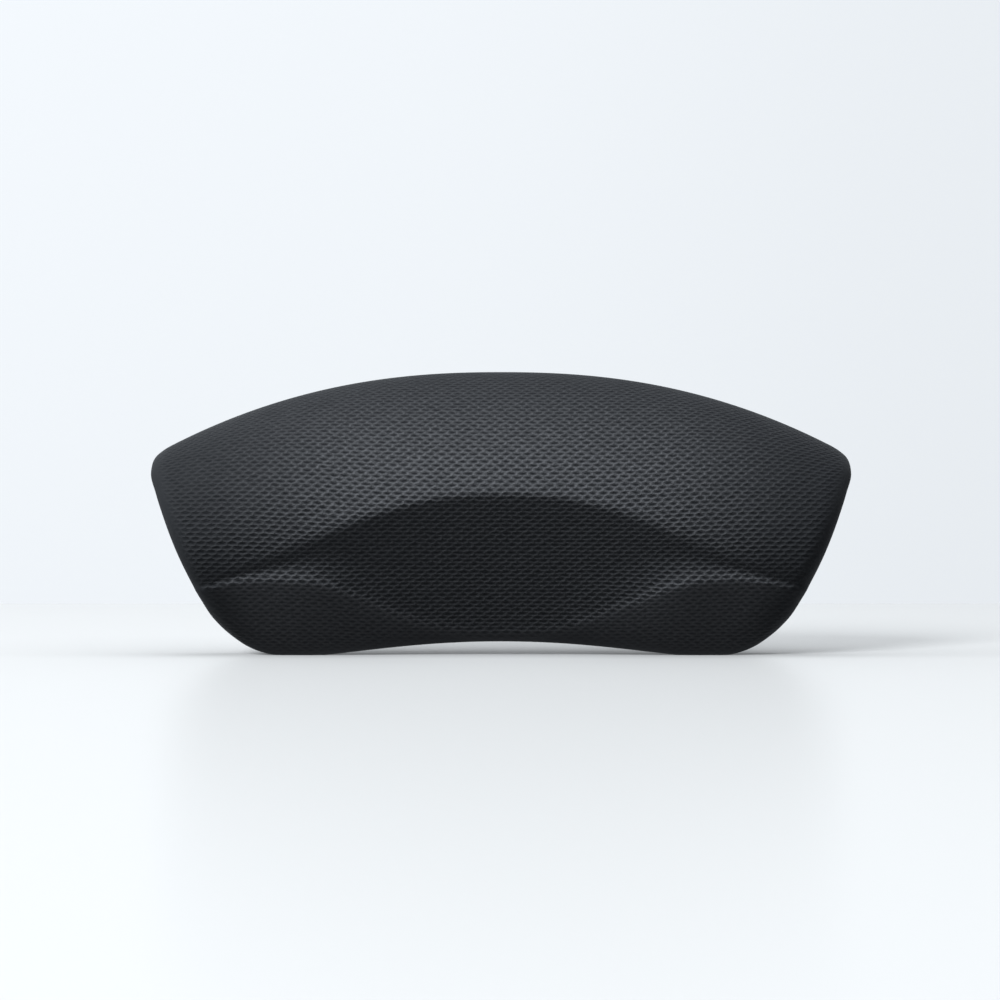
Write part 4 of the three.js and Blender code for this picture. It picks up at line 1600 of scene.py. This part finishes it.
def socket_screw(name, fastener):
    """A countersunk screw in its CAD node's place."""
    low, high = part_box(name)
    centre = (low + high) / 2
    start = back_y - high.y
    end = back_y - low.y
    head_edge = fastener.head_edge
    cone = start + head_edge + fastener.head_radius - fastener.shank_radius
    profile = [
        (0, end),
        (fastener.shank_radius - fastener.point_bevel, end),
        (fastener.shank_radius, end - fastener.point_bevel),
        (fastener.shank_radius, cone),
        (fastener.head_radius, start + head_edge),
        (fastener.head_radius - head_edge * HEAD_EDGE_SHARE, start + head_edge * HEAD_EDGE_SHARE),
        (fastener.head_radius - head_edge, start),
        (fastener.socket_flat * SOCKET_MOUTH_SHARE, start + fastener.head_crown),
    ]
    bm = spun(profile, fastener.sides, centre)
    socket_shade_layer = bm.verts.layers.float.new("socket_shade")
    carried = {vert: () for edge in open_edges(bm) for vert in edge.verts}
    rim, wall, floor = range(3)
    levels = (0, fastener.socket_depth, fastener.socket_depth)
    for step, level in zip((rim, wall, floor), levels):
        carried = next_ring(bm, carried)
        for vert in carried:
            flat = Vector((vert.co.x - centre.x, vert.co.z - centre.z))
            turn = math.atan2(flat.y, flat.x) % (math.pi / 3) - math.pi / 6
            reach = fastener.socket_flat / math.cos(turn)
            if step == floor:
                reach = SOCKET_FLOOR_SHARE * fastener.socket_flat
            flat = flat.normalized() * reach
            depth = start + fastener.head_crown + level
            vert.co = (centre.x + flat.x, back_y - depth, centre.z + flat.y)
            # Painted shade: part at the socket's rim, full on its wall and floor
            vert[socket_shade_layer] = SOCKET_RIM_SHADE if step == rim else 1
    bmesh.ops.contextual_create(bm, geom=open_edges(bm))
    bmesh.ops.recalc_face_normals(bm, faces=bm.faces)
    axis_layer(bm, centre)
    return bm


def suction_cup(name, shape, clearance):
    """A cup in its CAD node's place, with a pull tab on its rim."""
    low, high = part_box(name)
    centre = Vector(((low.x + high.x) / 2, 0, low.z + shape.radius))
    bm = spun(cup_profile(shape, clearance), shape.sides, centre)
    bmesh.ops.recalc_face_normals(bm, faces=bm.faces)
    add_pull_tab(bm, shape, centre)
    bmesh.ops.recalc_face_normals(bm, faces=bm.faces)
    axis_layer(bm, centre)
    return bm


def stage_sheet(name, corners, material):
    """A flat stage surface through four corners, facing the pillow."""
    bm = bmesh.new()
    bmesh.ops.create_grid(bm, x_segments=1, y_segments=1, size=1)
    for vert in bm.verts:
        right = vert.co.x > 0
        far = vert.co.y > 0
        vert.co = corners[2 * far + right]
    bm.normal_update()
    sheet = new_object(bm, name, material)
    return sheet


def add_floor_and_wall(studio):
    """Adds both stage sheets; returns the floor, which has a light of its own."""
    reach = studio.floor_reach
    floor = [(x, y, 0) for y in (-reach, reach) for x in (-reach, reach)]
    wall = [(x, studio.wall_y, z) for z in (0, reach / 2) for x in (-reach / 2, reach / 2)]
    stage_sheet("wall", wall, stage_finish("pale_wall", studio.wall_colour, WALL_LOOK))
    return stage_sheet("floor", floor, stage_finish("pale_floor", studio.floor_colour, FLOOR_LOOK))


def add_soft_light(name, place, target, size, watts):
    lamp = bpy.data.lights.new(name, "AREA")
    lamp.shape = "DISK"
    lamp.size = size
    lamp.energy = watts
    light = bpy.data.objects.new(name, lamp)
    light.location = place
    light.rotation_euler = (Vector(target) - Vector(place)).to_track_quat("-Z", "Y").to_euler()
    light.visible_camera = False
    bpy.context.scene.collection.objects.link(light)
    return light


def linked_to_floor(light, floor, state):
    """Keeps a lamp's light on the floor alone, or off the floor alone."""
    receivers = bpy.data.collections.new(light.name + "_receivers")
    receivers.objects.link(floor)
    receivers.collection_objects[0].light_linking.link_state = state
    light.light_linking.receiver_collection = receivers


def add_lights(studio, floor):
    """The key light leaves the floor to a low light of its own, which casts its shadow."""
    key = add_soft_light("key_light", KEY_PLACE, PILLOW_TARGET, KEY_SIZE, studio.key_power)
    add_soft_light("side_light", SIDE_PLACE, PILLOW_TARGET, SIDE_SIZE, studio.side_power)
    low = add_soft_light(
        "floor_light", FLOOR_LIGHT_PLACE, FLOOR_TARGET, FLOOR_LIGHT_SIZE, studio.floor_power
    )
    linked_to_floor(low, floor, "INCLUDE")
    linked_to_floor(key, floor, "EXCLUDE")


def add_world(scene, studio):
    """A dim, even light, which a camera or a mirror sees as the pale wall goes on."""
    scene.world = bpy.data.worlds.new("studio_world")
    tree, surface = emptied(scene.world, "ShaderNodeOutputWorld")
    backgrounds = [
        made_node(tree, "ShaderNodeBackground", {"Color": opaque(base), "Strength": level})
        for base, level in ((WORLD_COLOUR, studio.world_level), (studio.wall_colour, 1.0))
    ]
    fill, seen = [background.outputs[0] for background in backgrounds]
    tree.links.new(mixed_shaders(tree, seen_directly(tree), fill, seen), surface)


def add_camera(scene, studio):
    lens = bpy.data.cameras.new("photo_camera")
    lens.sensor_width = studio.sensor
    lens.lens = studio.sensor * studio.camera_distance / studio.frame_width
    lens.clip_start = CLIP_START
    camera = bpy.data.objects.new("photo_camera", lens)
    camera_y = studio.outline_y - studio.camera_distance
    camera.location = (studio.camera_x, camera_y, studio.camera_height)
    camera.rotation_euler = (math.pi / 2, 0, 0)
    scene.collection.objects.link(camera)
    scene.camera = camera


class VIEW3D_PT_bath_pillow(bpy.types.Panel):
    """Lists the pillow's pieces and their sizes"""

    bl_label = "Bath Pillow"
    bl_space_type = "VIEW_3D"
    bl_region_type = "UI"
    bl_category = "Bath Pillow"

    def draw(self, context):
        for group_name in property_groups:
            box = self.layout.box()
            group = getattr(context.scene, group_name)
            for setting in group.__annotations__:
                box.prop(group, setting)
        for operator in piece_operators:
            self.layout.operator(operator.bl_idname)


property_groups = {
    "pillow_shape": PillowShape,
    "pillow_mesh": PillowMesh,
    "grain_finish": GrainFinish,
    "panel_shape": PanelShape,
    "fastener_shape": FastenerShape,
    "cup_shape": CupShape,
    "studio_setup": StudioSetup,
}
piece_operators = (
    PILLOW_OT_add_skin,
    PILLOW_OT_add_foam,
    PILLOW_OT_finish_panel,
    PILLOW_OT_add_screws,
    PILLOW_OT_finish_bushes,
    PILLOW_OT_add_cups,
    PILLOW_OT_add_stage,
)
classes = (*property_groups.values(), *piece_operators, VIEW3D_PT_bath_pillow)


def register():
    for cls in classes:
        bpy.utils.register_class(cls)
    for name, group in property_groups.items():
        setattr(bpy.types.Scene, name, PointerProperty(type=group))


def unregister():
    for name in property_groups:
        delattr(bpy.types.Scene, name)
    for cls in reversed(classes):
        bpy.utils.unregister_class(cls)


def main():
    register()
    bpy.ops.bath_pillow.add_skin()
    bpy.ops.bath_pillow.add_foam()
    bpy.ops.bath_pillow.finish_panel()
    bpy.ops.bath_pillow.add_screws()
    bpy.ops.bath_pillow.finish_bushes()
    bpy.ops.bath_pillow.add_cups()
    bpy.ops.bath_pillow.add_stage()


if __name__ == "__main__":
    main()
